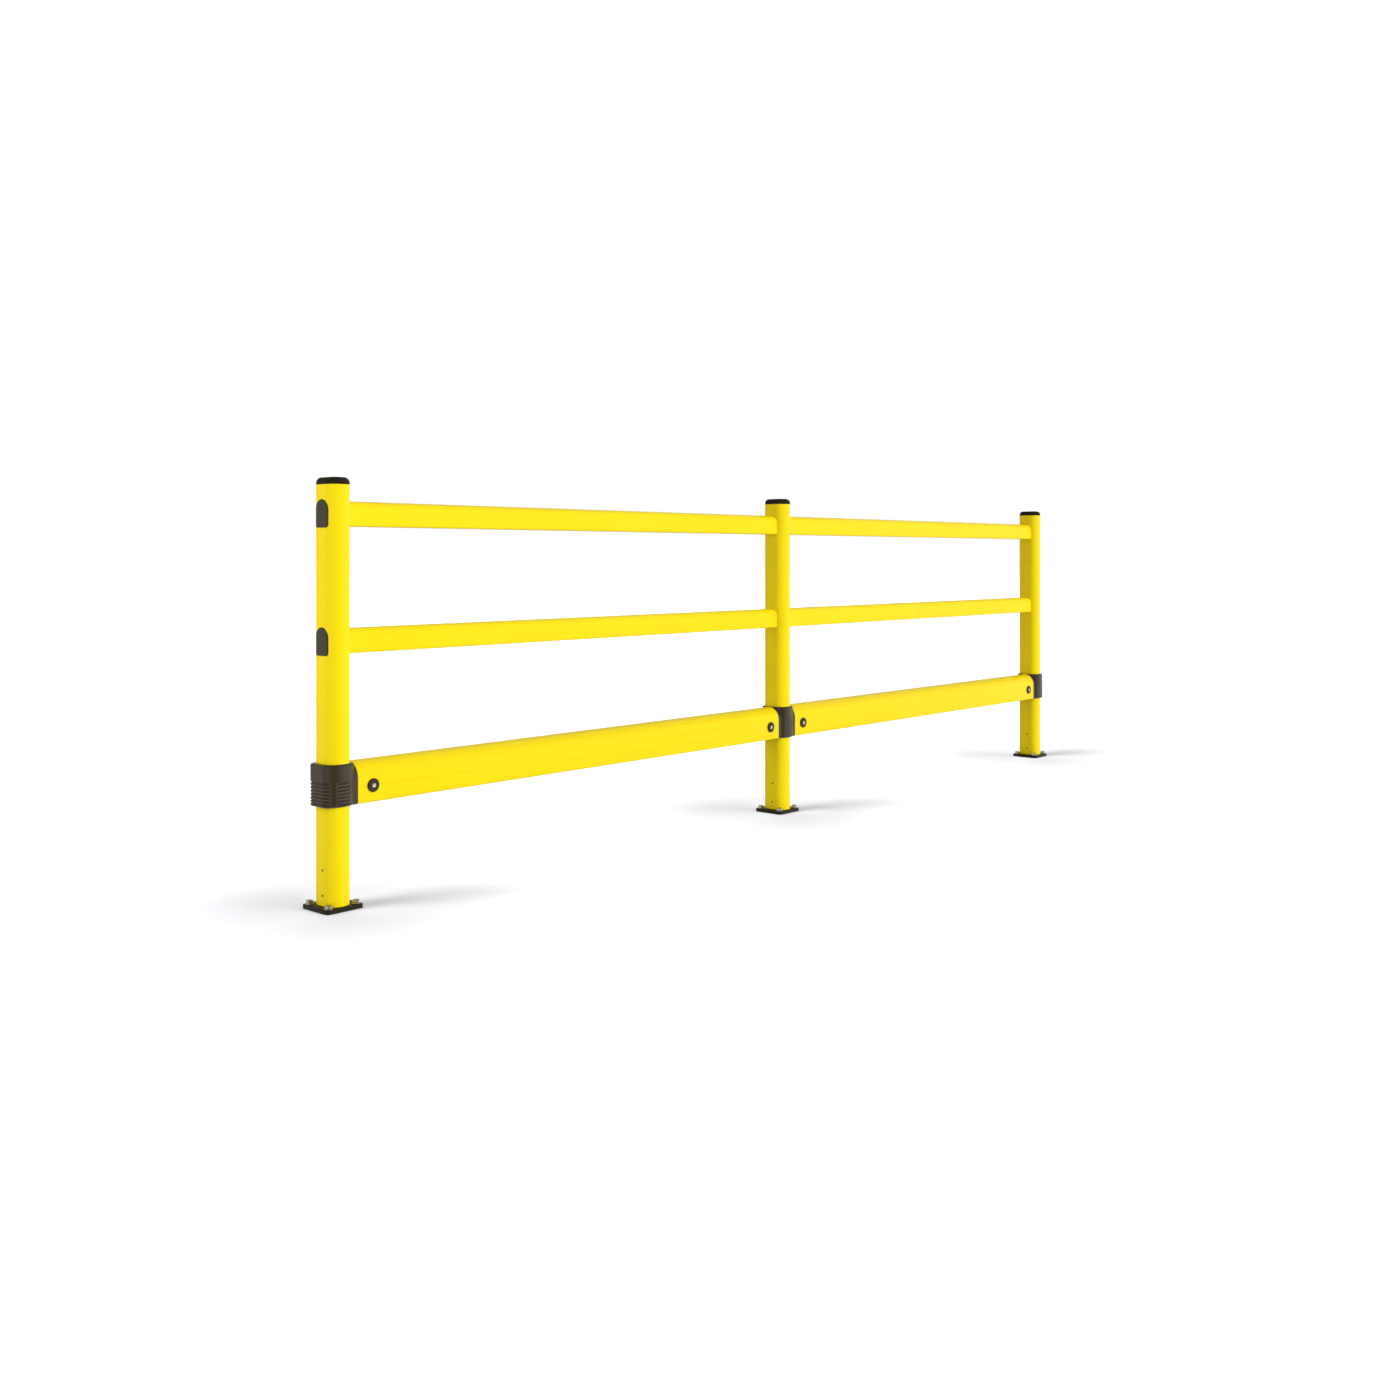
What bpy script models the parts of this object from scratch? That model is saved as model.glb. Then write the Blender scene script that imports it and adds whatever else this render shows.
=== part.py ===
"""Modular flexible safety barrier: two bays of polymer rails between three bolted-down posts.

Metres, +Z up. The origin is on the floor, under the middle post's foot.
+X runs along the rails, and -Y is the side that the rail bolts are put in from.
"""
import math

import bmesh
import bpy

# Fits
FIT_GAP = 0.0003
CUT_OVERRUN = 0.002

# Layout
BAY_LENGTH = 2.000

# Post: flat sides towards the rails, and an oval face at the front and at the back
POST_ALONG = 0.072
POST_ACROSS = 0.100
POST_FLAT = 0.040
POST_WALL = 0.006
POST_TOP = 1.176
OVAL_ANGLES = (0, 24, 45, 63, 77, 90)

# Post cap
CAP_HEIGHT = 0.020
CAP_SHOULDER = 0.015
CAP_SKIRT_DEPTH = 0.025
CAP_SKIRT_WALL = 0.003
CAP_SHOULDER_STEPS = 3

# Foot: base plate and the spigot that stands in the post
PLATE_ALONG = 0.120
PLATE_ACROSS = 0.123
PLATE_CORNER = 0.009
PLATE_THICKNESS = 0.012
CORNER_STEPS = 4
ANCHOR_SPACING = 0.090
ANCHOR_HOLE = 0.014
SPIGOT_HEIGHT = 0.140
SPIGOT_WALL = 0.004
HOLE_SIDES = 14

# Traffic rail
RAIL_WIDTH = 0.092
RAIL_HEIGHT = 0.118
RAIL_WALL = 0.007
RAIL_CORNER = 0.006
RAIL_BOTTOM = 0.286
RAIL_SETBACK = 0.051
ARCH_STEPS = 14
FOOT_CORNER_STEPS = 2

# Handrails: the upper one is set by the post's top, the middle one by a share of the upper one's height
HANDRAIL_WIDTH = 0.050
HANDRAIL_HEIGHT = 0.071
HANDRAIL_WALL = 0.004
HANDRAIL_CORNER = 0.005
HANDRAIL_INSET = 0.001
HANDRAIL_DROP = 0.045
MIDDLE_HANDRAIL_SHARE = 0.666

# Handrail end plug
PLUG_LIP = 0.004
PLUG_FACE = 0.0016
PLUG_SPIGOT = 0.030
PLUG_SPIGOT_WALL = 0.003

# Collar round the post, with the flange and tongue that carry the traffic rail
COLLAR_ACROSS = 0.114
COLLAR_FLAT = 0.048
COLLAR_OUTER_REACH = 0.0525
COLLAR_RAIL_REACH = 0.048
COLLAR_EDGE = 0.006
COLLAR_EDGE_STEPS = 2
FLANGE_THICKNESS = 0.020
TONGUE_LENGTH = 0.085
TONGUE_WALL = 0.006
RIB_PITCH = 0.0096
RIB_GROOVES = 7
GROOVE_WIDTH = 0.0066
GROOVE_DEPTH = 0.0018
GROOVE_LOWEST = 0.0085
GROOVE_RESOLUTION = 1
RUN_OUT_ANGLES = (45, 63)
RUN_OUT_SHARE = 1.2

# Rail bolt, its cup washers and its nut
BOLT_OFFSET = 0.101
BOLT_RISE = 0.048
BOLT_SHANK = 0.008
BOLT_HEAD = 0.013
BOLT_HEAD_HEIGHT = 0.0035
BOLT_CROWN_SHARE = 0.6
NUT_FLATS = 0.013
NUT_SIDES = 6
NUT_CHAMFER_ANGLE = 30
CUP_DIAMETER = 0.039
CUP_HEIGHT = 0.0055
CUP_RIM = 0.0025
CUP_RECESS = 0.016
CUP_FLOOR = 0.0025
CUP_SIDES = 16
CUP_STEPS = 2
SHANK_SIDES = 12
CHAMFER_SIDES = 12

# Shading, in degrees
SHARP_ANGLE = 30
RIM_ANGLE = 60

YELLOW = (0.87, 0.77, 0.03)
CHARCOAL = (0.062, 0.053, 0.043)
CAP_BLACK = (0.025, 0.022, 0.020)
PLATE_BLACK = (0.030, 0.028, 0.027)
STEEL = (0.62, 0.61, 0.58)

POST_NAMES = ("left", "middle", "right")
POST_PLACES = [(index - (len(POST_NAMES) - 1) / 2) * BAY_LENGTH for index in range(len(POST_NAMES))]
BAYS = {"left_bay": (POST_PLACES[0], POST_PLACES[1]), "right_bay": (POST_PLACES[1], POST_PLACES[2])}
UPPER_BOTTOM = POST_TOP - HANDRAIL_DROP - HANDRAIL_HEIGHT
HANDRAIL_BOTTOMS = {"upper": UPPER_BOTTOM, "middle": UPPER_BOTTOM * MIDDLE_HANDRAIL_SHARE}
BOLT_HEIGHT = RAIL_BOTTOM + BOLT_RISE
ALONG_X = (math.radians(90), 0, math.radians(90))
FACING_FRONT = (math.radians(90), 0, 0)
FACING_BACK = (math.radians(-90), 0, 0)


def material(name, colour, roughness, metallic=0.0):
    """A Principled material of one colour."""
    made = bpy.data.materials.new(name)
    made.use_nodes = True
    shader = made.node_tree.nodes["Principled BSDF"]
    shader.inputs["Base Color"].default_value = (*colour, 1)
    shader.inputs["Roughness"].default_value = roughness
    shader.inputs["Metallic"].default_value = metallic
    return made


def collection(name):
    """A new collection in the scene."""
    made = bpy.data.collections.new(name)
    bpy.context.scene.collection.children.link(made)
    return made


def arc(centre, radius, start, end, steps):
    """Points along a round corner, from one angle in degrees to another."""
    points = []
    for step in range(steps + 1):
        angle = math.radians(start + (end - start) * step / steps)
        points.append((centre[0] + radius * math.cos(angle), centre[1] + radius * math.sin(angle)))
    return points


def plate_outline():
    """The base plate's rectangle with its round corners, counterclockwise."""
    along = PLATE_ALONG / 2 - PLATE_CORNER
    across = PLATE_ACROSS / 2 - PLATE_CORNER
    points = []
    for centre, start in (((along, -across), -90), ((along, across), 0)):
        points += arc(centre, PLATE_CORNER, start, start + 90, CORNER_STEPS)
    return points + [(-x, -y) for x, y in points]


def oval_outline(left, right, flat, across, run_out=0.0):
    """Flat sides joined by half ovals, counterclockwise. A run-out swells it at its corners."""
    centre = (left + right) / 2
    points = []
    for turn in (1, -1):
        for angle in (*OVAL_ANGLES, *(180 - angle for angle in reversed(OVAL_ANGLES[:-1]))):
            swell = run_out if min(angle, 180 - angle) in RUN_OUT_ANGLES else 0.0
            along = (right - left) / 2 + swell
            depth = (across - flat) / 2 + swell
            slope = math.radians(angle)
            rise = flat / 2 + depth * math.sin(slope)
            points.append((centre + turn * along * math.cos(slope), turn * rise))
    return points


def post_outline(inset=0.0):
    """The post's section, or one that lies inside it."""
    along = POST_ALONG / 2 - inset
    return oval_outline(-along, along, POST_FLAT, POST_ACROSS - 2 * inset)


def collar_outline(reach, stand_off=0.0, run_out=0.0):
    """The collar's section, or one that stands off from it."""
    across = COLLAR_ACROSS + 2 * stand_off
    return oval_outline(-reach[-1] - stand_off, reach[1] + stand_off, COLLAR_FLAT, across, run_out)


def arch_outline(width, height, corner, inset=0.0):
    """Flat foot with small corners, straight sides and a half-round top, about the foot's middle."""
    half = width / 2 - inset
    small = max(corner - inset, corner / 2)
    points = arc((half - small, inset + small), small, -90, 0, FOOT_CORNER_STEPS)
    points += arc((0, height - width / 2), half, 0, 180, ARCH_STEPS)
    points += arc((small - half, inset + small), small, 180, 270, FOOT_CORNER_STEPS)
    return points


def rail_outline(inset=0.0):
    """The traffic rail's section, or one that lies inside it."""
    return arch_outline(RAIL_WIDTH, RAIL_HEIGHT, RAIL_CORNER, inset)


def handrail_outline(inset=0.0):
    """A handrail's section, or one that lies inside it."""
    return arch_outline(HANDRAIL_WIDTH, HANDRAIL_HEIGHT, HANDRAIL_CORNER, inset)


def prism(name, outlines, thickness, place, rotation=(0, 0, 0)):
    """A flat outline, with any holes in it, given a thickness about its own plane."""
    curve = bpy.data.curves.new(name, "CURVE")
    curve.dimensions = "2D"
    curve.fill_mode = "BOTH"
    curve.extrude = thickness / 2
    for outline in outlines:
        add_loop(curve, outline, 0)
    made = bpy.data.objects.new(name, mesh_of(curve))
    made.location = place
    made.rotation_euler = rotation
    return made


def add_loop(curve, outline, height):
    """Adds a closed outline to a curve, level at a height."""
    spline = curve.splines.new("POLY")
    spline.points.add(len(outline) - 1)
    for point, (x, y) in zip(spline.points, outline):
        point.co = (x, y, height, 1)
    spline.use_cyclic_u = True


def mesh_of(curve):
    """The mesh that a curve draws, with its seams closed."""
    source = bpy.data.objects.new(curve.name, curve)
    bpy.context.scene.collection.objects.link(source)
    bpy.context.view_layer.update()
    depsgraph = bpy.context.evaluated_depsgraph_get()
    mesh = bpy.data.meshes.new_from_object(source.evaluated_get(depsgraph))
    bpy.data.objects.remove(source)
    work = bmesh.new()
    work.from_mesh(mesh)
    bmesh.ops.remove_doubles(work, verts=work.verts, dist=FIT_GAP / 10)
    work.to_mesh(mesh)
    work.free()
    return mesh


def turned(name, profile, sides, place, rotation):
    """A closed profile of radius and height, turned about its own Z axis."""
    mesh = bpy.data.meshes.new(name)
    work = bmesh.new()
    verts = [work.verts.new((radius, 0, height)) for radius, height in profile]
    for first, second in zip(verts, verts[1:]):
        work.edges.new((first, second))
    work.to_mesh(mesh)
    work.free()
    made = bpy.data.objects.new(name, mesh)
    made.location = place
    made.rotation_euler = rotation
    screw = made.modifiers.new("turn", "SCREW")
    screw.steps = sides
    screw.render_steps = sides
    screw.use_merge_vertices = True
    screw.merge_threshold = FIT_GAP / 10
    return made


def bar(name, radius, length, sides, place, rotation):
    """A straight bar about its own Z axis, with its corners at a radius."""
    mesh = bpy.data.meshes.new(name)
    work = bmesh.new()
    bmesh.ops.create_cone(work, cap_ends=True, segments=sides, radius1=radius, radius2=radius, depth=length)
    work.to_mesh(mesh)
    work.free()
    made = bpy.data.objects.new(name, mesh)
    made.location = place
    made.rotation_euler = rotation
    return made


def drill(name, diameter, length, place, rotation=(0, 0, 0)):
    """A round cutter."""
    return as_cutter(bar(name, diameter / 2, length, HOLE_SIDES, place, rotation))


def as_cutter(made):
    """Keeps a helper out of the model."""
    cutters.objects.link(made)
    made.hide_render = True
    made.display_type = "WIRE"
    return made


def combine(target, tool, operation):
    """Adds a Boolean to the target."""
    boolean = target.modifiers.new(tool.name, "BOOLEAN")
    boolean.operation = operation
    boolean.solver = "EXACT"
    boolean.object = tool


def finish(made, look):
    """Gives a piece its material and puts it in the barrier."""
    made.data.materials.clear()
    made.data.materials.append(look)
    made.data.shade_smooth()
    made.data.set_sharp_from_angle(angle=math.radians(SHARP_ANGLE))
    barrier.objects.link(made)
    return made


def make_post(name, x, cutouts):
    """A hollow post with an arch cut through it for each handrail."""
    bottom = PLATE_THICKNESS + FIT_GAP
    middle = (bottom + POST_TOP) / 2
    post = prism(name, [post_outline(), post_outline(POST_WALL)], POST_TOP - bottom, (x, 0, middle))
    finish(post, yellow)
    for cutout in cutouts:
        combine(post, cutout, "DIFFERENCE")


def make_cap(name, x):
    """A cap with rounded shoulders, and a skirt that plugs into the post."""
    seat = POST_TOP + FIT_GAP
    top = prism(name, [post_outline()], CAP_HEIGHT, (x, 0, seat + CAP_HEIGHT / 2))
    work = bmesh.new()
    work.from_mesh(top.data)
    upper = [edge for edge in work.edges if is_rim(edge, CAP_HEIGHT / 2)]
    bmesh.ops.bevel(
        work, geom=upper, offset=CAP_SHOULDER, segments=CAP_SHOULDER_STEPS, profile=0.5, affect="EDGES"
    )
    work.to_mesh(top.data)
    work.free()
    skirt_height = CAP_SKIRT_DEPTH + CUT_OVERRUN
    inside = POST_WALL + FIT_GAP
    outlines = [post_outline(inside), post_outline(inside + CAP_SKIRT_WALL)]
    skirt = prism(name + "_skirt", outlines, skirt_height, (x, 0, seat + CUT_OVERRUN - skirt_height / 2))
    as_cutter(skirt)
    finish(top, cap_black)
    combine(top, skirt, "UNION")


def is_rim(edge, height):
    """Whether an edge lies on the outline of the flat face at a height."""
    level = all(abs(vert.co.z - height) < FIT_GAP for vert in edge.verts)
    return level and edge.calc_face_angle(0) > math.radians(RIM_ANGLE)


def make_foot(name, x):
    """A base plate with four anchor holes, and the spigot that the post is screwed to."""
    foot = prism(name, [plate_outline()], PLATE_THICKNESS, (x, 0, PLATE_THICKNESS / 2))
    height = SPIGOT_HEIGHT + CUT_OVERRUN
    inside = POST_WALL + FIT_GAP
    outlines = [post_outline(inside), post_outline(inside + SPIGOT_WALL)]
    spigot = prism(name + "_spigot", outlines, height, (x, 0, PLATE_THICKNESS + SPIGOT_HEIGHT - height / 2))
    as_cutter(spigot)
    finish(foot, plate_black)
    combine(foot, spigot, "UNION")
    for x_side in (-1, 1):
        for y_side in (-1, 1):
            place = (x + x_side * ANCHOR_SPACING / 2, y_side * ANCHOR_SPACING / 2, PLATE_THICKNESS / 2)
            hole = drill(f"{name}_hole", ANCHOR_HOLE, PLATE_THICKNESS + 2 * CUT_OVERRUN, place)
            combine(foot, hole, "DIFFERENCE")


def make_collar(name, x, rail_sides, bolt_holes):
    """A ribbed collar with a flange and a hollow tongue on each side that has a rail."""
    reach = {side: COLLAR_RAIL_REACH if side in rail_sides else COLLAR_OUTER_REACH for side in (-1, 1)}
    middle = RAIL_BOTTOM + RAIL_HEIGHT / 2
    collar = prism(name, [collar_outline(reach)], RAIL_HEIGHT, (x, 0, middle))
    work = bmesh.new()
    work.from_mesh(collar.data)
    rims = [edge for edge in work.edges if is_rim(edge, RAIL_HEIGHT / 2) or is_rim(edge, -RAIL_HEIGHT / 2)]
    bmesh.ops.bevel(
        work, geom=rims, offset=COLLAR_EDGE, segments=COLLAR_EDGE_STEPS, profile=0.5, affect="EDGES"
    )
    work.to_mesh(collar.data)
    work.free()
    finish(collar, charcoal)
    combine(collar, make_grooves(name, x, reach), "DIFFERENCE")
    for side in rail_sides:
        combine(collar, make_flange(name, x, side), "UNION")
        combine(collar, make_tongue(name, x, side), "UNION")
    bore = prism(name + "_bore", [post_outline(-FIT_GAP)], RAIL_HEIGHT + 2 * CUT_OVERRUN, (x, 0, middle))
    combine(collar, as_cutter(bore), "DIFFERENCE")
    for hole in bolt_holes:
        combine(collar, hole, "DIFFERENCE")


def make_flange(name, x, side):
    """The arch-shaped flange that a rail's end butts against."""
    outer = RAIL_SETBACK - FIT_GAP
    place = (x + side * (outer - FLANGE_THICKNESS / 2), 0, RAIL_BOTTOM)
    return as_cutter(prism(f"{name}_flange", [rail_outline()], FLANGE_THICKNESS, place, ALONG_X))


def make_tongue(name, x, side):
    """The hollow tongue that enters the rail."""
    length = TONGUE_LENGTH + CUT_OVERRUN
    start = RAIL_SETBACK - FIT_GAP - CUT_OVERRUN
    inside = RAIL_WALL + FIT_GAP
    outlines = [rail_outline(inside), rail_outline(inside + TONGUE_WALL)]
    place = (x + side * (start + length / 2), 0, RAIL_BOTTOM)
    return as_cutter(prism(f"{name}_tongue", outlines, length, place, ALONG_X))


def make_grooves(name, x, reach):
    """Level grooves round the collar's lower half, which run out at its corners and leave ribs standing."""
    radius = (GROOVE_WIDTH ** 2 / 4 + GROOVE_DEPTH ** 2) / (2 * GROOVE_DEPTH)
    outline = collar_outline(reach, radius - GROOVE_DEPTH, GROOVE_DEPTH * RUN_OUT_SHARE)
    curve = bpy.data.curves.new(name + "_grooves", "CURVE")
    curve.dimensions = "3D"
    curve.bevel_depth = radius
    curve.bevel_resolution = GROOVE_RESOLUTION
    for row in range(RIB_GROOVES):
        add_loop(curve, outline, GROOVE_LOWEST + row * RIB_PITCH)
    made = bpy.data.objects.new(name + "_grooves", mesh_of(curve))
    made.location = (x, 0, RAIL_BOTTOM)
    return as_cutter(made)


def make_traffic_rail(name, start, end, bolt_holes):
    """A hollow arch-shaped rail between two collars."""
    length = end - start - 2 * RAIL_SETBACK
    outlines = [rail_outline(), rail_outline(RAIL_WALL)]
    rail = prism(name, outlines, length, ((start + end) / 2, 0, RAIL_BOTTOM), ALONG_X)
    finish(rail, yellow)
    for hole in bolt_holes:
        combine(rail, hole, "DIFFERENCE")


def make_handrail(name, start, end, bottom):
    """A hollow handrail, let into the posts at both ends."""
    length = end - start
    outlines = [handrail_outline(), handrail_outline(HANDRAIL_WALL)]
    rail = prism(name, outlines, length, ((start + end) / 2, 0, bottom), ALONG_X)
    finish(rail, yellow)


def make_plug(name, side, bottom):
    """The plug that closes a handrail's end. Its face follows the outer side of an end post."""
    post = POST_PLACES[0 if side < 0 else -1]
    surface = POST_ALONG / 2
    plug = prism(name, [handrail_outline(-PLUG_LIP)], POST_ALONG, (post + side * surface, 0, bottom), ALONG_X)
    finish(plug, charcoal)
    middle = bottom + HANDRAIL_HEIGHT / 2
    height = HANDRAIL_HEIGHT + 4 * PLUG_LIP
    outside = as_cutter(prism(name + "_face", [post_outline(-PLUG_FACE)], height, (post, 0, middle)))
    inside = as_cutter(prism(name + "_seat", [post_outline(-FIT_GAP)], height, (post, 0, middle)))
    combine(plug, outside, "INTERSECT")
    combine(plug, inside, "DIFFERENCE")
    start = surface + (FIT_GAP + PLUG_FACE) / 2
    room = HANDRAIL_WALL + FIT_GAP
    outlines = [handrail_outline(room), handrail_outline(room + PLUG_SPIGOT_WALL)]
    place = (post + side * (start - PLUG_SPIGOT / 2), 0, bottom)
    combine(plug, as_cutter(prism(name + "_spigot", outlines, PLUG_SPIGOT, place, ALONG_X)), "UNION")


def make_cup(name, x, side):
    """A cup washer on a rail's flat side, with a recess for the bolt's head or nut."""
    bore = BOLT_SHANK / 2 + FIT_GAP
    outer = CUP_DIAMETER / 2
    recess = CUP_RECESS / 2
    profile = [
        (bore, CUP_FLOOR),
        (recess, CUP_FLOOR),
        (recess, CUP_HEIGHT),
    ]
    crown = outer - recess
    for step in range(1, CUP_STEPS + 1):
        angle = math.radians(90 * step / CUP_STEPS)
        radius = recess + crown * math.sin(angle)
        height = CUP_RIM + (CUP_HEIGHT - CUP_RIM) * math.cos(angle)
        profile.append((radius, height))
    profile += [(outer, 0), (bore, 0), (bore, CUP_FLOOR)]
    place = (x, side * (RAIL_WIDTH / 2 + FIT_GAP), BOLT_HEIGHT)
    cup = turned(name, profile, CUP_SIDES, place, FACING_FRONT if side < 0 else FACING_BACK)
    finish(cup, charcoal)


def make_bolt(name, x):
    """A bolt with a round head, right through the rail and the tongue inside it."""
    head = BOLT_HEAD / 2
    seat = RAIL_WIDTH / 2 + 2 * FIT_GAP + CUP_FLOOR
    tail = -(RAIL_WIDTH / 2 + CUP_HEIGHT)
    top = seat + BOLT_HEAD_HEIGHT
    shoulder = seat + BOLT_HEAD_HEIGHT * BOLT_CROWN_SHARE
    profile = [(0, top), (head * BOLT_CROWN_SHARE, top), (head, shoulder), (head, seat)]
    profile += [(BOLT_SHANK / 2, seat), (BOLT_SHANK / 2, tail), (0, tail)]
    bolt = turned(name, profile, SHANK_SIDES, (x, 0, BOLT_HEIGHT), FACING_FRONT)
    finish(bolt, steel)


def make_nut(name, x):
    """The hexagon nut on the bolt's far end, with its outer corners chamfered."""
    seat = RAIL_WIDTH / 2 + 2 * FIT_GAP + CUP_FLOOR
    place = (x, seat + BOLT_HEAD_HEIGHT / 2, BOLT_HEIGHT)
    corner = NUT_FLATS / 2 / math.cos(math.pi / NUT_SIDES)
    nut = bar(name, corner, BOLT_HEAD_HEIGHT, NUT_SIDES, place, FACING_BACK)
    finish(nut, steel)
    slope = math.tan(math.radians(NUT_CHAMFER_ANGLE))
    edge = NUT_FLATS / 2
    top = BOLT_HEAD_HEIGHT / 2
    wide = corner + CUT_OVERRUN
    narrow = edge - CUT_OVERRUN
    bottom = -top - CUT_OVERRUN
    profile = [(0, top + CUT_OVERRUN * slope), (narrow, top + CUT_OVERRUN * slope)]
    profile += [(wide, top - (wide - edge) * slope), (wide, bottom), (0, bottom)]
    chamfer = as_cutter(turned(name + "_chamfer", profile, CHAMFER_SIDES, place, FACING_BACK))
    combine(nut, chamfer, "INTERSECT")
    depth = BOLT_HEAD_HEIGHT + 2 * CUT_OVERRUN
    bore = drill(name + "_bore", BOLT_SHANK + 2 * FIT_GAP, depth, place, FACING_BACK)
    combine(nut, bore, "DIFFERENCE")


for old in list(bpy.data.objects):
    bpy.data.objects.remove(old)

barrier = collection("safety_barrier")
cutters = collection("cutters")
yellow = material("yellow_polymer", YELLOW, 0.42)
charcoal = material("charcoal_polymer", CHARCOAL, 0.5)
cap_black = material("cap_polymer", CAP_BLACK, 0.35)
plate_black = material("coated_plate", PLATE_BLACK, 0.5)
steel = material("zinc_plated_steel", STEEL, 0.35, 1.0)

whole_length = POST_PLACES[-1] - POST_PLACES[0] + POST_ALONG * 2
handrail_cuts = []
for level, level_bottom in HANDRAIL_BOTTOMS.items():
    opening = prism(
        f"{level}_handrail_cut", [handrail_outline(-FIT_GAP)], whole_length, (0, 0, level_bottom), ALONG_X
    )
    handrail_cuts.append(as_cutter(opening))

holes = {}
for bay, (bay_start, bay_end) in BAYS.items():
    for end_name, centre in (("near", bay_start + BOLT_OFFSET), ("far", bay_end - BOLT_OFFSET)):
        holes[bay, end_name] = drill(
            f"{bay}_{end_name}_bolt_hole", BOLT_SHANK + 2 * FIT_GAP, RAIL_WIDTH + 2 * CUT_OVERRUN,
            (centre, 0, BOLT_HEIGHT), FACING_FRONT
        )

for post_name, post_x in zip(POST_NAMES, POST_PLACES):
    make_post(f"{post_name}_post", post_x, handrail_cuts)
    make_cap(f"{post_name}_post_cap", post_x)
    make_foot(f"{post_name}_foot", post_x)

make_collar("left_collar", POST_PLACES[0], (1,), [holes["left_bay", "near"]])
make_collar("middle_collar", POST_PLACES[1], (-1, 1), [holes["left_bay", "far"], holes["right_bay", "near"]])
make_collar("right_collar", POST_PLACES[2], (-1,), [holes["right_bay", "far"]])

for bay, (bay_start, bay_end) in BAYS.items():
    bay_holes = [holes[bay, "near"], holes[bay, "far"]]
    make_traffic_rail(f"{bay}_traffic_rail", bay_start, bay_end, bay_holes)
    reach = POST_ALONG / 2 - HANDRAIL_INSET
    rail_start = bay_start - reach if bay == "left_bay" else bay_start + FIT_GAP / 2
    rail_end = bay_end + reach if bay == "right_bay" else bay_end - FIT_GAP / 2
    for level, level_bottom in HANDRAIL_BOTTOMS.items():
        make_handrail(f"{bay}_{level}_handrail", rail_start, rail_end, level_bottom)
    for end_name, centre in (("near", bay_start + BOLT_OFFSET), ("far", bay_end - BOLT_OFFSET)):
        make_bolt(f"{bay}_{end_name}_rail_bolt", centre)
        make_nut(f"{bay}_{end_name}_rail_nut", centre)
        make_cup(f"{bay}_{end_name}_front_cup_washer", centre, -1)
        make_cup(f"{bay}_{end_name}_back_cup_washer", centre, 1)

for level, level_bottom in HANDRAIL_BOTTOMS.items():
    make_plug(f"left_{level}_handrail_plug", -1, level_bottom)
    make_plug(f"right_{level}_handrail_plug", 1, level_bottom)
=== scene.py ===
"""Modular flexible safety barrier: finished pieces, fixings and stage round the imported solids."""
import math

import bmesh
import bpy
from mathutils import Matrix, Vector


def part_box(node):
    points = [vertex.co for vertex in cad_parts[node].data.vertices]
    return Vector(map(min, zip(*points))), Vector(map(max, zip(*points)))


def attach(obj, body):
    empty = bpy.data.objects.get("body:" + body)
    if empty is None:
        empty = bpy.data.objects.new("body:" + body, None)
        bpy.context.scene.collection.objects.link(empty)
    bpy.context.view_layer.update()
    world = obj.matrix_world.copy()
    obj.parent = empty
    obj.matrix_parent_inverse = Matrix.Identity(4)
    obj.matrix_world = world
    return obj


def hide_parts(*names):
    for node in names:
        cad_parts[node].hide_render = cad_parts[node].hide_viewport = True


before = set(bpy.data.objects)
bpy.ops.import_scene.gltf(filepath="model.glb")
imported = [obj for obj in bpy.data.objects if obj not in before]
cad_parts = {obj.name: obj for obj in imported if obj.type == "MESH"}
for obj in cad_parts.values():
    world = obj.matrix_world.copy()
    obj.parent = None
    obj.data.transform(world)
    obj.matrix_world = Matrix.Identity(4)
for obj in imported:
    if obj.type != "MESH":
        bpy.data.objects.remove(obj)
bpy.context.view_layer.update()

bl_info = {
    "name": "Safety Barrier Finish",
    "version": (1, 0, 0),
    "blender": (4, 5, 0),
    "location": "3D View > Sidebar > Safety Barrier",
    "description": "Finished pieces, fixings and stage of a modular flexible safety barrier",
    "category": "Object",
}


def middle_of(node):
    """The centre of a solid's box."""
    low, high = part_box(node)
    return (Vector(low) + Vector(high)) / 2


def size_of(node):
    """The size of a solid's box."""
    low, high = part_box(node)
    return Vector(high) - Vector(low)


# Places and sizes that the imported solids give, in metres.
POST_PLACES = {name: middle_of(f"{name}_post").x for name in ("left", "middle", "right")}
BAYS = ("left_bay", "right_bay")
LEVELS = ("upper", "middle")
RAIL_SIDES = {"left": (1,), "middle": (-1, 1), "right": (-1,)}
BAY_LENGTH = POST_PLACES["middle"] - POST_PLACES["left"]
POST_SIZE = size_of("middle_post")
PLATE_SIZE = size_of("middle_foot")
HANDRAIL_SIZE = size_of("left_bay_upper_handrail")
CUP_SIZE = size_of("left_bay_near_front_cup_washer")
RAIL_SIZE = size_of("left_bay_traffic_rail")
RAIL_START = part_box("left_bay_traffic_rail")[0][0] - POST_PLACES["left"]
RAIL_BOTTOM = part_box("left_bay_traffic_rail")[0][2]
RAIL_TOP = RAIL_BOTTOM + RAIL_SIZE.z
BOLT_PLACE = middle_of("left_bay_near_rail_bolt")
BOLT_REACH = BOLT_PLACE.x - POST_PLACES["left"]

# How finely the pieces are drawn: steps, the distance between rows of points, and the angle that stays sharp.
OVAL_STEPS = 26
ARCH_STEPS = 44
CORNER_STEPS = 6
EDGE_STEPS = 5
ROUND_SIDES = 60
SCREW_SIDES = 36
ROW_SPACING = 0.0006
POST_ROW = 0.1
OUTER_ROW = 0.004
INNER_ROW = 0.02
SHARP_ANGLE = 32

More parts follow.
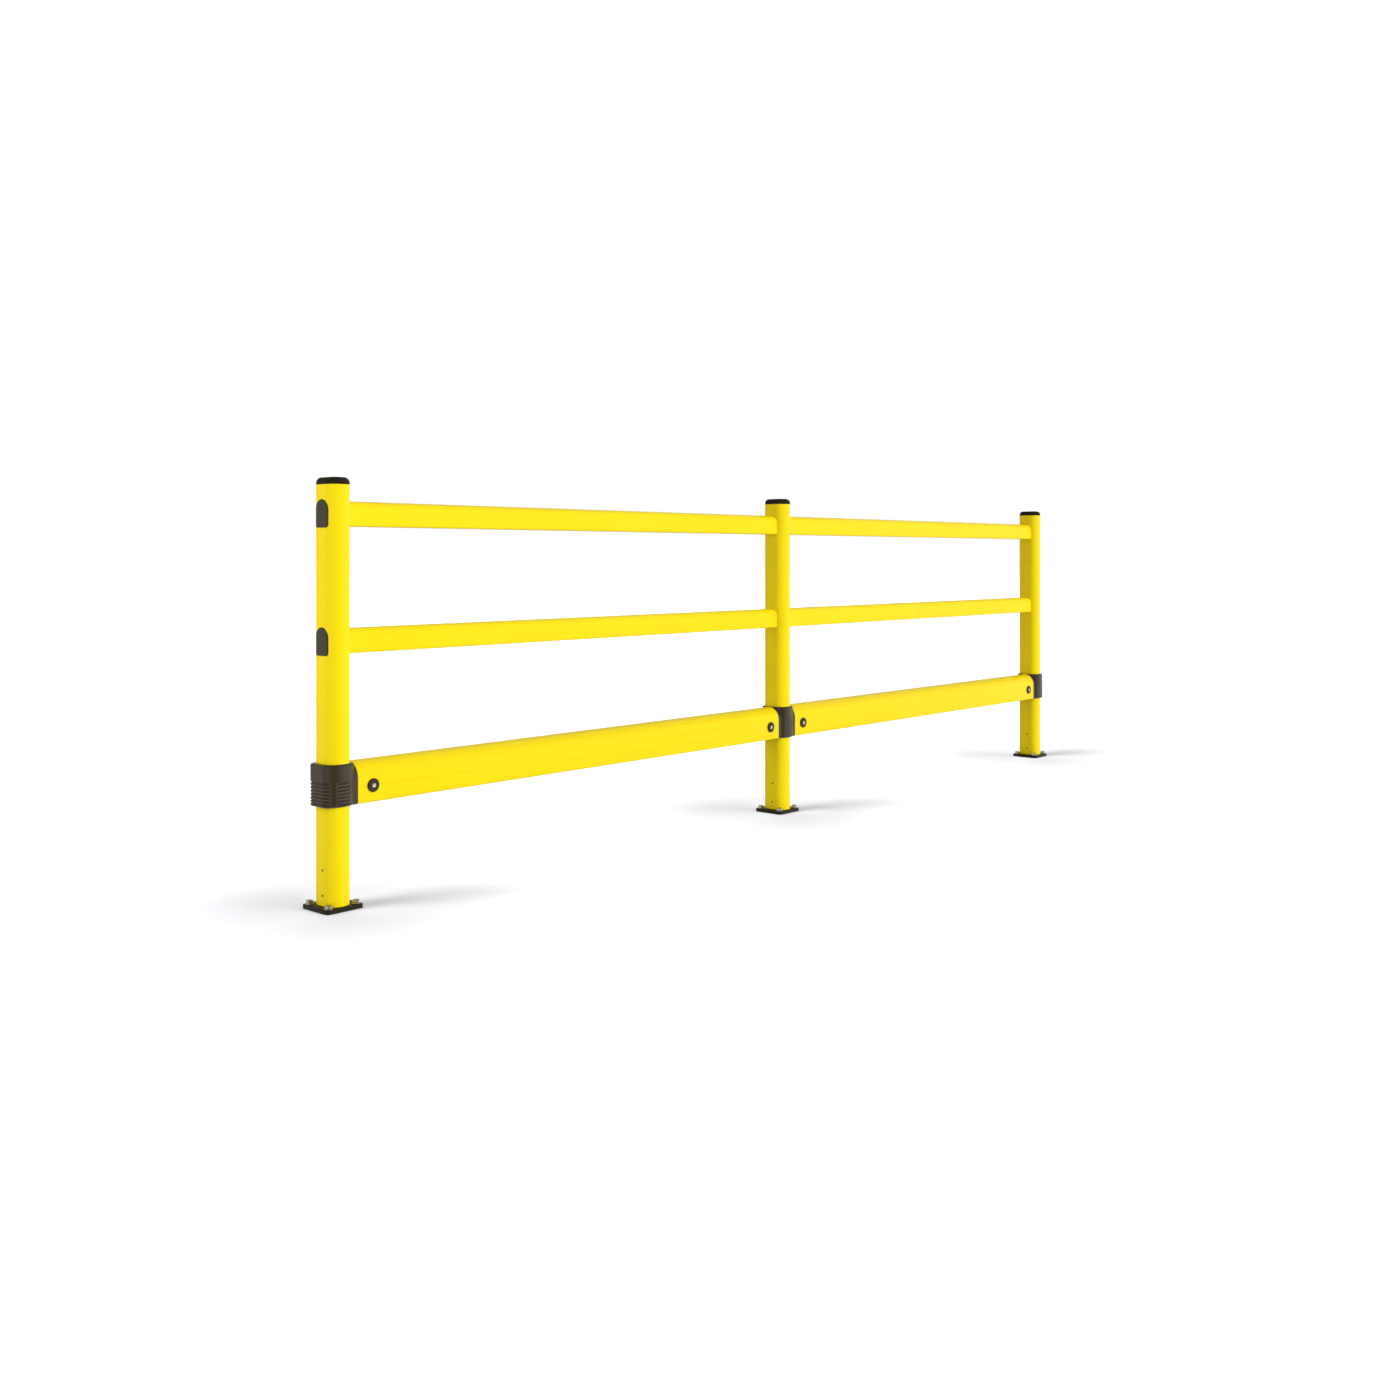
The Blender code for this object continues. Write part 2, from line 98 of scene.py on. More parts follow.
# Small measures that no user would change, in metres.
CLEARANCE = 0.0003
FINE_EDGE = 0.0006
OVERLAP = 0.002
OVERRUN = 0.01
HOLE_CUTTER = (-0.01, 0.03)
SKIRT_WALL = 0.003
SKIRT_GAP = 0.0005
CAP_CROWN = 0.008
SPIGOT_WALL = 0.004
TONGUE_WALL = 0.006
CUP_RIM = 0.0022
CUP_LIP = 0.0008
EDGE_BREAK = 0.0004
HEAD_EDGE = 0.0003
SHANK_CHAMFER = 0.0008
SOCKET_FLATS = 0.0050
WASHER_GAP = 0.0002
HEAD_GAP = 0.0001
HEAD_DOME = 0.0008

# Shares of a fixing. A bolt head's wall is a share of its height, and its crown of its radius. The faces of
# nuts and anchors and the cut corners of anchors are shares of the width across flats. Then the slopes of
# their chamfers.
BOLT_WALL = 0.35
BOLT_CROWN = 0.36
NUT_FACE = 0.475
ANCHOR_FACE = 0.45
ANCHOR_CORNER = 0.56
NUT_CHAMFER = math.tan(math.radians(28))
ANCHOR_CHAMFER = math.tan(math.radians(30))

# Where round the collar the ribs run out and how the anchors are turned, in degrees. Then the crests' power.
RUN_OUT_MIDDLE = 54
RUN_OUT_FLAT = 8
RUN_OUT_FADE = 10
ANCHOR_TURN = 11
CREST_POWER = 3.5

# The stage. A soft light has its turn from the front to the right, its rise and its softness, in degrees.
FRONT_LIGHT = (8, 5, 45)
RIGHT_LIGHT = (112, 30, 40)
FLOOR_LIGHTS = (
    ("left", (-109, 40, 32), 7.2), ("front", (18, 40, 44), 3.6), ("corner", (62, 40, 50), 1.8),
    ("back", (150, 38, 62), 3.6),
)
SIDE_LIGHT_SIZE = (0.7, 1.1)
SIDE_LIGHT_PLACE = Vector((POST_PLACES["left"] - 1.3, 0.80, 0.95))
SIDE_LIGHT_AIM = Vector((POST_PLACES["left"], 0, 0.55))
DARK_SIDE = Vector((-0.225, -0.974, 0.0))
DARK_SIDE_EDGE = (0.98, 0.76)
BRIGHT_SIDE = Vector((0.553, -0.833, 0.0))
FLOOR_SIZE = 60
FLOOR_TINT = (0.985, 0.99, 1.025)
# Distances from a foot, in metres, over which the floor's painted shade fades out.
FEET_SHADE_REACH = (0.15, 0.72)
VIEW_END = 200


def length(name, description, default):
    """A size in metres for a settings group."""
    return bpy.props.FloatProperty(
        name=name, description=description, default=default, min=0.0, precision=4, unit="LENGTH"
    )


def number(name, description, default, low=0.0):
    """A plain number for a settings group."""
    return bpy.props.FloatProperty(name=name, description=description, default=default, min=low)


def colour(name, description, default):
    """A colour for a settings group."""
    return bpy.props.FloatVectorProperty(
        name=name, description=description, default=default, min=0.0, max=1.0, size=3, subtype="COLOR"
    )


def part_of(group, name, description):
    """A settings group inside another."""
    return bpy.props.PointerProperty(type=group, name=name, description=description)


class BarrierPostSettings(bpy.types.PropertyGroup):
    """Sizes of the posts, their caps and their feet."""

    along: length("Along", "Post width along the rails", POST_SIZE.x)
    across: length("Across", "Post width across the rails", POST_SIZE.y)
    flat: length("Flat", "Flat part of the sides towards the rails", 0.040)
    wall: length("Wall", "Post wall thickness", 0.006)
    crease_width: length("Crease Width", "Width of the fine line where a flat side ends", 0.0020)
    crease_depth: length("Crease Depth", "Depth of the fine line where a flat side ends", 0.0009)
    cap_shoulder: length("Cap Shoulder", "Radius of the cap's shoulder", 0.0155)
    skirt_depth: length("Skirt Depth", "How far the cap's skirt reaches into the post", 0.025)
    plate_thickness: length("Plate Thickness", "Thickness of the base plate", 0.012)
    plate_corner: length("Plate Corner", "Corner radius of the base plate", 0.009)
    plate_edge: length("Plate Edge", "Rounding of the base plate's upper edge", 0.0015)
    anchor_spacing: length("Anchor Spacing", "Distance between anchors", 0.090)
    anchor_hole: length("Anchor Hole", "Diameter of an anchor hole", 0.014)


class BarrierCollarSettings(bpy.types.PropertyGroup):
    """Sizes of the ribbed collars."""

    across: length("Across", "Collar width across the rails", 0.114)
    flat: length("Flat", "Flat part of the collar's sides", 0.048)
    outer_reach: length("Outer Reach", "Reach on a side without a rail", 0.0525)
    rail_reach: length("Rail Reach", "Reach on a side with a rail", 0.048)
    edge: length("Edge", "Rounding of the upper and lower edges", 0.006)
    flange: length("Flange", "Thickness of the flange at a rail's end", 0.020)
    flange_edge: length("Flange Edge", "Rounding of the flange's edge", 0.0012)
    tongue: length("Tongue", "Length of the tongue inside a rail", 0.085)
    groove_pitch: length("Groove Pitch", "Distance between grooves", 0.0096)
    groove_width: length("Groove Width", "Width of a groove", 0.0074)
    groove_depth: length("Groove Depth", "Depth of a groove", 0.0024)
    lowest_groove: length("Lowest Groove", "Lowest groove above the collar's lower edge", 0.0085)
    groove_count: bpy.props.IntProperty(
        name="Groove Count", description="Number of grooves between the ribs", default=7, min=1, max=20
    )


class BarrierRailSettings(bpy.types.PropertyGroup):
    """Sizes of the rails and the handrail plugs."""

    traffic_corner: length("Traffic Corner", "Lower corner radius of the traffic rail", 0.006)
    traffic_wall: length("Traffic Wall", "Wall thickness of the traffic rail", 0.007)
    handrail_corner: length("Handrail Corner", "Lower corner radius of a handrail", 0.005)
    handrail_wall: length("Handrail Wall", "Wall thickness of a handrail", 0.004)
    end_edge: length("End Edge", "Rounding of a rail's sawn end", 0.0008)
    plug_lip: length("Plug Lip", "How far a plug's face laps over the handrail's section", 0.004)
    plug_face: length("Plug Face", "How far a plug's face stands proud of the post", 0.0016)


class BarrierFixingSettings(bpy.types.PropertyGroup):
    """Sizes of the bolts, cup washers, anchors and screws."""

    cup_recess: length("Cup Recess", "Diameter of the cup washer's recess", 0.016)
    cup_floor: length("Cup Floor", "Thickness of the cup washer under the head", 0.0025)
    bolt_shank: length("Bolt Shank", "Diameter of the rail bolt", 0.008)
    bolt_head: length("Bolt Head", "Diameter of the rail bolt's head", 0.013)
    head_height: length("Head Height", "Height of the rail bolt's head", 0.0035)
    anchor_shank: length("Anchor Shank", "Diameter of a floor anchor", 0.012)
    anchor_flats: length("Anchor Flats", "Width across flats of an anchor's head", 0.019)
    anchor_head: length("Anchor Head", "Height of an anchor's head", 0.0085)
    washer_diameter: length("Washer Diameter", "Diameter of an anchor's washer", 0.024)
    washer_thickness: length("Washer Thickness", "Thickness of an anchor's washer", 0.0022)
    screw_head: length("Screw Head", "Diameter of a post screw's head", 0.0070)
    screw_rise: length("Screw Rise", "How far a post screw's head stands proud", 0.0012)
    lower_screw: length("Lower Screw", "Height of the lower post screw", 0.041)
    upper_screw: length("Upper Screw", "Height of the upper post screw", 0.111)
    screw_offset: length("Screw Offset", "How far the post screws sit towards the front", 0.004)


class BarrierFinishSettings(bpy.types.PropertyGroup):
    """Colours of the barrier's finishes."""

    yellow: colour("Yellow", "Posts and rails", (0.98, 0.765, 0.005))
    yellow_deep: colour("Deep Yellow", "Streaks and variation in the yellow", (0.90, 0.665, 0.002))
    charcoal: colour("Charcoal", "Collars, plugs and cup washers", (0.040, 0.027, 0.011))
    charcoal_deep: colour("Deep Charcoal", "Variation in the charcoal", (0.035, 0.023, 0.009))
    cap: colour("Cap", "Post caps", (0.013, 0.011, 0.006))
    cap_streak: colour("Cap Streak", "Soft streaks on the post caps", (0.028, 0.023, 0.013))
    plate: colour("Plate", "Base plates", (0.011, 0.010, 0.006))
    plate_tint: colour("Plate Tint", "Warm patches on the base plates", (0.024, 0.016, 0.008))
    steel: colour("Steel", "Rail bolts and nuts", (0.76, 0.72, 0.62))
    steel_tint: colour("Steel Tint", "Faint tint of the plating", (0.60, 0.55, 0.43))
    anchor: colour("Anchor", "Floor anchors and their washers", (0.56, 0.56, 0.45))
    anchor_tint: colour("Anchor Tint", "Warm patches on the anchors", (0.50, 0.42, 0.30))
    screw: colour("Screw", "Post screws", (0.20, 0.145, 0.012))


class BarrierStageSettings(bpy.types.PropertyGroup):
    """The camera and the studio light."""

    focal_length: number("Focal Length", "Camera focal length in millimetres", 36.566, 1.0)
    sensor: number("Sensor", "Camera sensor width in millimetres", 36.0, 1.0)
    camera_place: bpy.props.FloatVectorProperty(
        name="Camera Place", description="Where the camera stands", default=(-4.301, -3.370, 0.977), size=3,
        subtype="TRANSLATION", unit="LENGTH"
    )
    camera_turn: bpy.props.FloatProperty(
        name="Camera Turn", description="Camera heading about the vertical", default=math.radians(-48.8),
        subtype="ANGLE", unit="ROTATION"
    )
    camera_shift: number("Camera Shift", "Vertical shift of the level camera", -0.10264, -1.0)
    overhead: number("Overhead", "Strength of the room light from above", 0.05)
    around: number("Around", "Strength of the room light from the sides", 1.13)
    front_strength: number("Front Strength", "Strength of the soft front light", 3.15)
    back_strength: number("Back Strength", "Strength of the soft light from the right", 0.45)
    side_power: number("Side Power", "Power of the side light in watts", 14.6)
    dark_side: number("Dark Side", "What is left of the room light from the dark front", 0.05)
    bright_side: number("Bright Side", "How much stronger the room light is from the front right", 0.29)
    floor_grey: number("Floor Grey", "How pale the floor is to the light", 0.107)
    # Painted shade: the camera sees the floor darker round the feet than farther away.
    floor_shaded_near_feet: number("Floor Near", "How pale the camera sees the floor near the feet", 0.268)
    floor_far: number("Floor Far", "How pale the camera sees the rest of the floor", 0.365)


class BarrierSettings(bpy.types.PropertyGroup):
    """All settings of the barrier."""

    post: part_of(BarrierPostSettings, "Post", "Posts, caps and feet")
    collar: part_of(BarrierCollarSettings, "Collar", "Ribbed collars")
    rail: part_of(BarrierRailSettings, "Rail", "Rails and plugs")
    fixing: part_of(BarrierFixingSettings, "Fixing", "Bolts and screws")
    finish: part_of(BarrierFinishSettings, "Finish", "Colours")
    stage: part_of(BarrierStageSettings, "Stage", "Camera and light")


def chosen():
    """The barrier's settings as the scene holds them."""
    return bpy.context.scene.safety_barrier


def oval_loop(along, across, flat, inset=0.0, crease=(0.001, 0.0), centre=0.0):
    """A section with two flat sides and two oval faces, counterclockwise from the middle of a flat side."""
    width, depth = crease
    half = along / 2 - inset
    flat_half = flat / 2
    rise = across / 2 - flat_half - inset
    quarter = [(half, flat_half * share) for share in (0.2, 0.6)]
    quarter += [(half, flat_half - width / 2), (half - depth, flat_half)]
    start = math.asin(width / 2 / rise)
    for step in range(OVAL_STEPS + 1):
        angle = start + (math.pi / 2 - start) * step / OVAL_STEPS
        quarter.append((half * math.cos(angle), flat_half + rise * math.sin(angle)))
    back = quarter[-2::-1]
    loop = quarter + [(-x, y) for x, y in back] + [(-x, -y) for x, y in quarter] + [(x, -y) for x, y in back]
    return [(centre + x, y) for x, y in loop]


def arc(centre, radius, start, end, steps):
    """Points along a round corner, from one angle in degrees to another."""
    angles = [math.radians(start + (end - start) * step / steps) for step in range(steps + 1)]
    return [(centre[0] + radius * math.cos(angle), centre[1] + radius * math.sin(angle)) for angle in angles]


def arch_loop(width, height, corner, inset):
    """A section with a flat foot and a half-round top, counterclockwise from the foot's middle."""
    half = width / 2 - inset
    small = max(corner - inset, corner / 4)
    shoulder = height - width / 2
    side = (inset + small + shoulder) / 2
    points = [(0, inset), (half / 2, inset)]
    points += arc((half - small, inset + small), small, -90, 0, CORNER_STEPS)
    points.append((half, side))
    points += arc((0, shoulder), half, 0, 180, ARCH_STEPS)
    points.append((-half, side))
    points += arc((small - half, inset + small), small, 180, 270, CORNER_STEPS)
    points.append((-half / 2, inset))
    return points


def post_loop(inset, creased=False):
    """The post's section or one inside it, with the fine creases where they show."""
    post = chosen().post
    crease = (post.crease_width, post.crease_depth * creased)
    return oval_loop(post.along, post.across, post.flat, inset, crease)


def plate_loop(inset):
    """The base plate's section, a rectangle with round corners."""
    corner = chosen().post.plate_corner
    x = PLATE_SIZE.x / 2 - corner
    y = PLATE_SIZE.y / 2 - corner
    points = []
    for centre, start in (((x, -y), -90), ((x, y), 0), ((-x, y), 90), ((-x, -y), 180)):
        points += arc(centre, corner - inset, start, start + 90, CORNER_STEPS)
    return points


def handrail_loop(inset):
    """A handrail's section or one inside it."""
    return arch_loop(HANDRAIL_SIZE.y, HANDRAIL_SIZE.z, chosen().rail.handrail_corner, inset)


def traffic_loop(inset=0.0):
    """The traffic rail's section or one inside it."""
    return arch_loop(RAIL_SIZE.y, RAIL_SIZE.z, chosen().rail.traffic_corner, inset)


def upright(loop, x, z):
    """A section that stands across the rails at a place along them."""
    return [Vector((x, px, z + py)) for px, py in loop]


def rounded(edge):
    """Inset and retreat of a rounded edge, from its flat end to its wall."""
    turns = [math.radians(90 * step / EDGE_STEPS) for step in range(EDGE_STEPS + 1)]
    return [(edge * (1 - math.sin(turn)), edge * (1 - math.cos(turn))) for turn in turns]


def dome(radius, inset, low, rise, steps):
    """Radius and height over a quarter turn, from just above a wall to the crown."""
    turns = [math.radians(90 * (step + 1) / steps) for step in range(steps)]
    return [(radius - inset * (1 - math.cos(turn)), low + rise * math.sin(turn)) for turn in turns]


def add_object(name, data):
    """A new object in the scene."""
    made = bpy.data.objects.new(name, data)
    bpy.context.scene.collection.objects.link(made)
    return made


def add_piece(name, work):
    """A new piece in the scene, with the mesh that bmesh has made."""
    mesh = bpy.data.meshes.new(name)
    work.to_mesh(mesh)
    work.free()
    return add_object(name, mesh)


def skin(name, rings, joined=False):
    """A closed skin over rings of points. Joined rings run back into the first one, others are capped."""
    work = bmesh.new()
    rows = [[work.verts.new(point) for point in ring] for ring in rings]
    pairs = list(zip(rows, rows[1:]))
    if joined:
        pairs.append((rows[-1], rows[0]))
    for lower, upper in pairs:
        for index, vert in enumerate(lower):
            after = (index + 1) % len(lower)
            work.faces.new((vert, lower[after], upper[after], upper[index]))
    if not joined:
        work.faces.new(rows[0][::-1])
        work.faces.new(rows[-1])
    bmesh.ops.recalc_face_normals(work, faces=work.faces)
    return add_piece(name, work)


def stack(name, section, steps, x, joined=False):
    """A skin over a section that is laid level at steps of (inset, height)."""
    rings = [[Vector((x + px, py, z)) for px, py in section(inset)] for inset, z in steps]
    return skin(name, rings, joined)


def turned(name, profile, joined=True, sides=ROUND_SIDES):
    """A profile of radius and height, turned about Z. Either may come from the turning angle."""
    rings = []
    for radius, height in profile:
        ring = []
        for index in range(sides):
            angle = 2 * math.pi * index / sides
            reach = radius(angle) if callable(radius) else radius
            lift = height(angle) if callable(height) else height
            ring.append(Vector((reach * math.cos(angle), reach * math.sin(angle), lift)))
        rings.append(ring)
    return skin(name, rings, joined)


def hexagon(flats, limit=math.inf):
    """A radius that draws a hexagon as the angle turns, held back to a limit where one is given."""
    sixth = math.radians(60)

    def radius(angle):
        """How far the hexagon reaches at an angle."""
        return min(flats / 2 / math.cos((angle + sixth / 2) % sixth - sixth / 2), limit)

    return radius


def smooth(made):
    """Shades a piece smooth, with its real corners kept."""
    made.data.shade_smooth()
    made.data.set_sharp_from_angle(angle=math.radians(SHARP_ANGLE))
    return made


def settle(made):
    """Turns what a piece's modifiers make into its plain mesh."""
    bpy.context.view_layer.update()
    depsgraph = bpy.context.evaluated_depsgraph_get()
    mesh = bpy.data.meshes.new_from_object(
        made.evaluated_get(depsgraph), preserve_all_data_layers=True, depsgraph=depsgraph
    )
    made.modifiers.clear()
    made.data = mesh
    return made


def combine(made, tools, operation):
    """Joins tools to a piece or cuts them from it, and removes them."""
    for tool in tools:
        boolean = made.modifiers.new(tool.name, "BOOLEAN")
        boolean.operation = operation
        boolean.solver = "EXACT"
        boolean.object = tool
    settle(made)
    for tool in tools:
        bpy.data.objects.remove(tool)
    return made


def join(name, parts):
    """Puts separate closed skins into one piece."""
    work = bmesh.new()
    for part in parts:
        work.from_mesh(part.data)
        bpy.data.objects.remove(part)
    return add_piece(name, work)


def place(made, axis, degrees, spot=(0, 0, 0)):
    """Turns a piece about an axis and puts it where it belongs, in its mesh."""
    made.data.transform(Matrix.Translation(spot) @ Matrix.Rotation(math.radians(degrees), 4, axis))
    return made


def bolt_hole(x):
    """A cutter for a rail bolt's hole, right across the rail."""
    radius = chosen().fixing.bolt_shank / 2 + CLEARANCE
    hole = turned("bolt_hole", [(radius, -RAIL_SIZE.y), (radius, RAIL_SIZE.y)], False)
    return place(hole, "X", 90, (x, 0, BOLT_PLACE.z))


def gather(name, made):
    """Puts a piece in a collection that lights are linked to."""
    group = bpy.data.collections.get(name) or bpy.data.collections.new(name)
    group.objects.link(made)
    return group


def finish(made, look, *nodes):
    """Gives a piece its material, ties it to the barrier's body, and hides the solids that it stands for."""
    made.data.materials.clear()
    made.data.materials.append(material(look))
    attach(made, "root")
    if nodes:
        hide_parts(*nodes)
    gather("barrier_pieces", made)
    return made


def feed(tree, socket, given):
    """Links a socket to another, or sets it to a value. A colour is given without its alpha."""
    if isinstance(given, bpy.types.NodeSocket):
        tree.links.new(given, socket)
    else:
        socket.default_value = (*given, 1) if socket.type == "RGBA" else given


def node(tree, kind, inputs=(), **traits):
    """A new node with its traits, and its inputs fed by name or number. Its outputs are returned."""
    made = tree.nodes.new(kind)
    for name, value in traits.items():
        setattr(made, name, value)
    for key, given in dict(inputs).items():
        feed(tree, made.inputs[key], given)
    return made.outputs


def calc(tree, operation, first, *others, clamp=False):
    """Math nodes over sockets or numbers, one for each value after the first. The last result is returned."""
    flow = first
    for other in others or (None,):
        values = {0: flow} if other is None else {0: flow, 1: other}
        flow = node(tree, "ShaderNodeMath", values, operation=operation, use_clamp=clamp)[0]
    return flow


def ranged(tree, source, low, high, start=0.0, end=1.0, shape="LINEAR"):
    """A value that goes between two limits as its source goes from start to end."""
    limits = {"Value": source, "From Min": start, "From Max": end, "To Min": low, "To Max": high}
    return node(tree, "ShaderNodeMapRange", limits, interpolation_type=shape)["Result"]


def split(tree, vector):
    """The X, Y and Z of a vector."""
    return node(tree, "ShaderNodeSeparateXYZ", {0: vector})


def object_place(tree):
    """A surface point's place in its object, which is its place in the barrier."""
    return node(tree, "ShaderNodeTexCoord")["Object"]


def new_group(name, kind, inputs, outputs):
    """A node group, what its input node gives and what its output node takes."""
    tree = bpy.data.node_groups.new(name, kind)
    for label, socket_kind, default in inputs:
        socket = tree.interface.new_socket(name=label, in_out="INPUT", socket_type=f"NodeSocket{socket_kind}")
        if default is not None:
            socket.default_value = default
    for label, socket_kind in outputs:
        tree.interface.new_socket(name=label, in_out="OUTPUT", socket_type=f"NodeSocket{socket_kind}")
    return tree, tree.nodes.new("NodeGroupInput").outputs, tree.nodes.new("NodeGroupOutput").inputs


def built_once(maker):
    """A maker of a node group that builds it when it is first asked for. The group has the maker's name."""
    def group():
        return bpy.data.node_groups.get(maker.__name__) or maker(maker.__name__)
    return group


ROWS = ("First", "Second", "Third")
SHAPE_IN = ("Geometry", "Geometry", None)
SHAPE_OUT = [("Geometry", "Geometry")]
MATERIAL_IN = ("Material", "Material", None)


def paint_and_end(tree, flow, given, result):
    """Ends a geometry tree with real geometry in the given material."""
    real = node(tree, "GeometryNodeRealizeInstances", {"Geometry": flow})[0]
    paint = node(tree, "GeometryNodeSetMaterial", {"Geometry": real, "Material": given["Material"]})
    feed(tree, result["Geometry"], paint[0])
    return tree


@built_once
def centred_row(name):
    """Geometry nodes: repeats what it is given in a row about its own place."""
    sockets = [SHAPE_IN, ("Count", "Int", 2), ("Step", "Vector", None)]
    tree, given, result = new_group(name, "GeometryNodeTree", sockets, SHAPE_OUT)
    count = given["Count"]
    step = given["Step"]
    back = calc(tree, "MULTIPLY", calc(tree, "SUBTRACT", count, 1), -0.5)
    start = node(tree, "ShaderNodeVectorMath", {0: step, "Scale": back}, operation="SCALE")[0]
    points = {"Count": count, "Start Location": start, "Offset": step}
    line = node(tree, "GeometryNodeMeshLine", points, mode="OFFSET")
    spread = node(tree, "GeometryNodeInstanceOnPoints", {"Points": line[0], "Instance": given["Geometry"]})
    real = node(tree, "GeometryNodeRealizeInstances", {"Geometry": spread[0]})
    feed(tree, result["Geometry"], real[0])
    return tree


@built_once
def fixing_lattice(name):
    """Geometry nodes: sets a fixing out in up to three rows of rows, with its material."""
    sockets = [SHAPE_IN]
    for label in ROWS:
        sockets += [(f"{label} Count", "Int", 1), (f"{label} Step", "Vector", None)]
    sockets += [("Centre", "Vector", None), MATERIAL_IN]
    tree, given, result = new_group(name, "GeometryNodeTree", sockets, SHAPE_OUT)
    flow = given["Geometry"]
    for label in ROWS:
        row = {"Geometry": flow, "Count": given[f"{label} Count"], "Step": given[f"{label} Step"]}
        flow = node(tree, "GeometryNodeGroup", row, node_tree=centred_row())[0]
    flow = node(tree, "GeometryNodeTransform", {"Geometry": flow, "Translation": given["Centre"]})[0]
    return paint_and_end(tree, flow, given, result)


@built_once
def ribbed_sleeve(name):
    """Geometry nodes: presses level grooves into a sleeve's wall where its rib_room attribute allows them."""
    sockets = [SHAPE_IN, ("Lowest", "Float", 0.0), ("Pitch", "Float", 0.01), ("Count", "Int", 7)]
    sockets += [("Width", "Float", 0.006), ("Depth", "Float", 0.0015), MATERIAL_IN]
    tree, given, result = new_group(name, "GeometryNodeTree", sockets, SHAPE_OUT)
    pitch = given["Pitch"]
    last = calc(tree, "SUBTRACT", given["Count"], 1)
    height = split(tree, node(tree, "GeometryNodeInputPosition")[0])["Z"]
    above = calc(tree, "SUBTRACT", height, given["Lowest"])
    nearest = calc(tree, "ROUND", calc(tree, "DIVIDE", above, pitch))
    nearest = calc(tree, "MINIMUM", calc(tree, "MAXIMUM", nearest, 0.0), last)
    away = calc(tree, "ABSOLUTE", calc(tree, "SUBTRACT", above, calc(tree, "MULTIPLY", nearest, pitch)))
    room = node(tree, "GeometryNodeInputNamedAttribute", {"Name": "rib_room"}, data_type="FLOAT")["Attribute"]
    share = calc(tree, "DIVIDE", away, calc(tree, "MULTIPLY", given["Width"], 0.5))
    hollow = calc(tree, "SUBTRACT", 1.0, calc(tree, "POWER", share, 2.0), clamp=True)
    hollow = calc(tree, "MULTIPLY", hollow, room)
    crest = calc(tree, "DIVIDE", away, calc(tree, "MULTIPLY", pitch, 0.5), clamp=True)
    below_last = calc(tree, "LESS_THAN", above, calc(tree, "MULTIPLY", last, pitch))
    over_first = calc(tree, "GREATER_THAN", above, 0.0)
    crest = calc(tree, "MULTIPLY", calc(tree, "POWER", crest, CREST_POWER), room, over_first, below_last)
    # Stores two masks for the charcoal material: one for a painted highlight on the rib crests, one for a
    # painted shade in the grooves.
    flow = given["Geometry"]
    for label, value in (("rib_crest_highlight", crest), ("rib_groove_shade", hollow)):
        kept = {"Geometry": flow, "Name": label, "Value": value}
        flow = node(tree, "GeometryNodeStoreNamedAttribute", kept, data_type="FLOAT", domain="POINT")[0]
    inward = calc(tree, "MULTIPLY", hollow, given["Depth"], -1.0)
    wall = node(tree, "GeometryNodeInputNormal")[0]
    press = node(tree, "ShaderNodeVectorMath", {0: wall, "Scale": inward}, operation="SCALE")[0]
    flow = node(tree, "GeometryNodeSetPosition", {"Geometry": flow, "Offset": press})[0]
    return paint_and_end(tree, flow, given, result)


def run_nodes(made, tree, values):
    """Runs a geometry node tree on a piece with the given inputs, and keeps the plain mesh."""
    modifier = made.modifiers.new(tree.name, "NODES")
    modifier.node_group = tree
    sockets = {item.name: item.identifier for item in tree.interface.items_tree if item.in_out == "INPUT"}
    for label, value in values.items():
        modifier[sockets[label]] = value
    return settle(made)


def spread_out(made, look, rows, centre=(0, 0, 0)):
    """Repeats a fixing over rows of (count, step), and finishes its surface."""
    values = {"Centre": centre, "Material": material(look)}
    for label, (count, step) in zip(ROWS, rows):
        values[f"{label} Count"] = count
        values[f"{label} Step"] = Vector(step)
    return smooth(run_nodes(made, fixing_lattice(), values))


@built_once
def drawn_streaks(name):
    """Shader group: long fine streaks, drawn out along one axis by the scale that it is given."""
    sockets = [("Stretch", "Vector", None), ("Detail", "Float", 3.0)]
    tree, given, result = new_group(name, "ShaderNodeTree", sockets, [("Mask", "Float"), ("Height", "Float")])
    where = node(tree, "ShaderNodeMapping", {"Vector": object_place(tree), "Scale": given["Stretch"]})[0]
    grain = {"Vector": where, "Scale": 1.0, "Roughness": 0.6, "Detail": given["Detail"]}
    height = node(tree, "ShaderNodeTexNoise", grain)["Fac"]
    feed(tree, result["Mask"], ranged(tree, height, 0.0, 1.0, 0.35, 0.68))
    feed(tree, result["Height"], height)
    return tree


@built_once
def soft_cloud(name):
    """Shader group: slow, soft variation over a surface, and a fine grain."""
    sockets = [("Cloud Scale", "Float", 8.0), ("Grain Scale", "Float", 900.0)]
    tree, given, result = new_group(name, "ShaderNodeTree", sockets, [("Cloud", "Float"), ("Grain", "Float")])
    where = object_place(tree)
    for label, detail in (("Cloud", 4.0), ("Grain", 2.0)):
        grain = {"Vector": where, "Scale": given[f"{label} Scale"], "Detail": detail}
        fac = node(tree, "ShaderNodeTexNoise", grain)["Fac"]
        feed(tree, result[label], ranged(tree, fac, 0.0, 1.0, 0.3, 0.7))
    return tree


@built_once
def low_scuffs(name):
    """Shader group: sparse short scuffs, more of them near the floor."""
    sockets = [("Reach", "Float", 0.4), ("Amount", "Float", 0.5)]
    tree, given, result = new_group(name, "ShaderNodeTree", sockets, [("Mask", "Float")])
    where = object_place(tree)
    height = calc(tree, "DIVIDE", split(tree, where)["Z"], given["Reach"])
    low = calc(tree, "SUBTRACT", 1.0, height, clamp=True)
    where = node(tree, "ShaderNodeMapping", {"Vector": where, "Scale": (55.0, 55.0, 160.0)})[0]
    fac = node(tree, "ShaderNodeTexNoise", {"Vector": where, "Scale": 1.0, "Detail": 6.0})["Fac"]
    marks = ranged(tree, fac, 0.0, 1.0, 0.62, 0.74)
    feed(tree, result["Mask"], calc(tree, "MULTIPLY", marks, low, given["Amount"], clamp=True))
    return tree


def effect(tree, group, values):
    """Places a shared shader group in a material with its own values, and returns what it puts out."""
    return node(tree, "ShaderNodeGroup", values, node_tree=group)


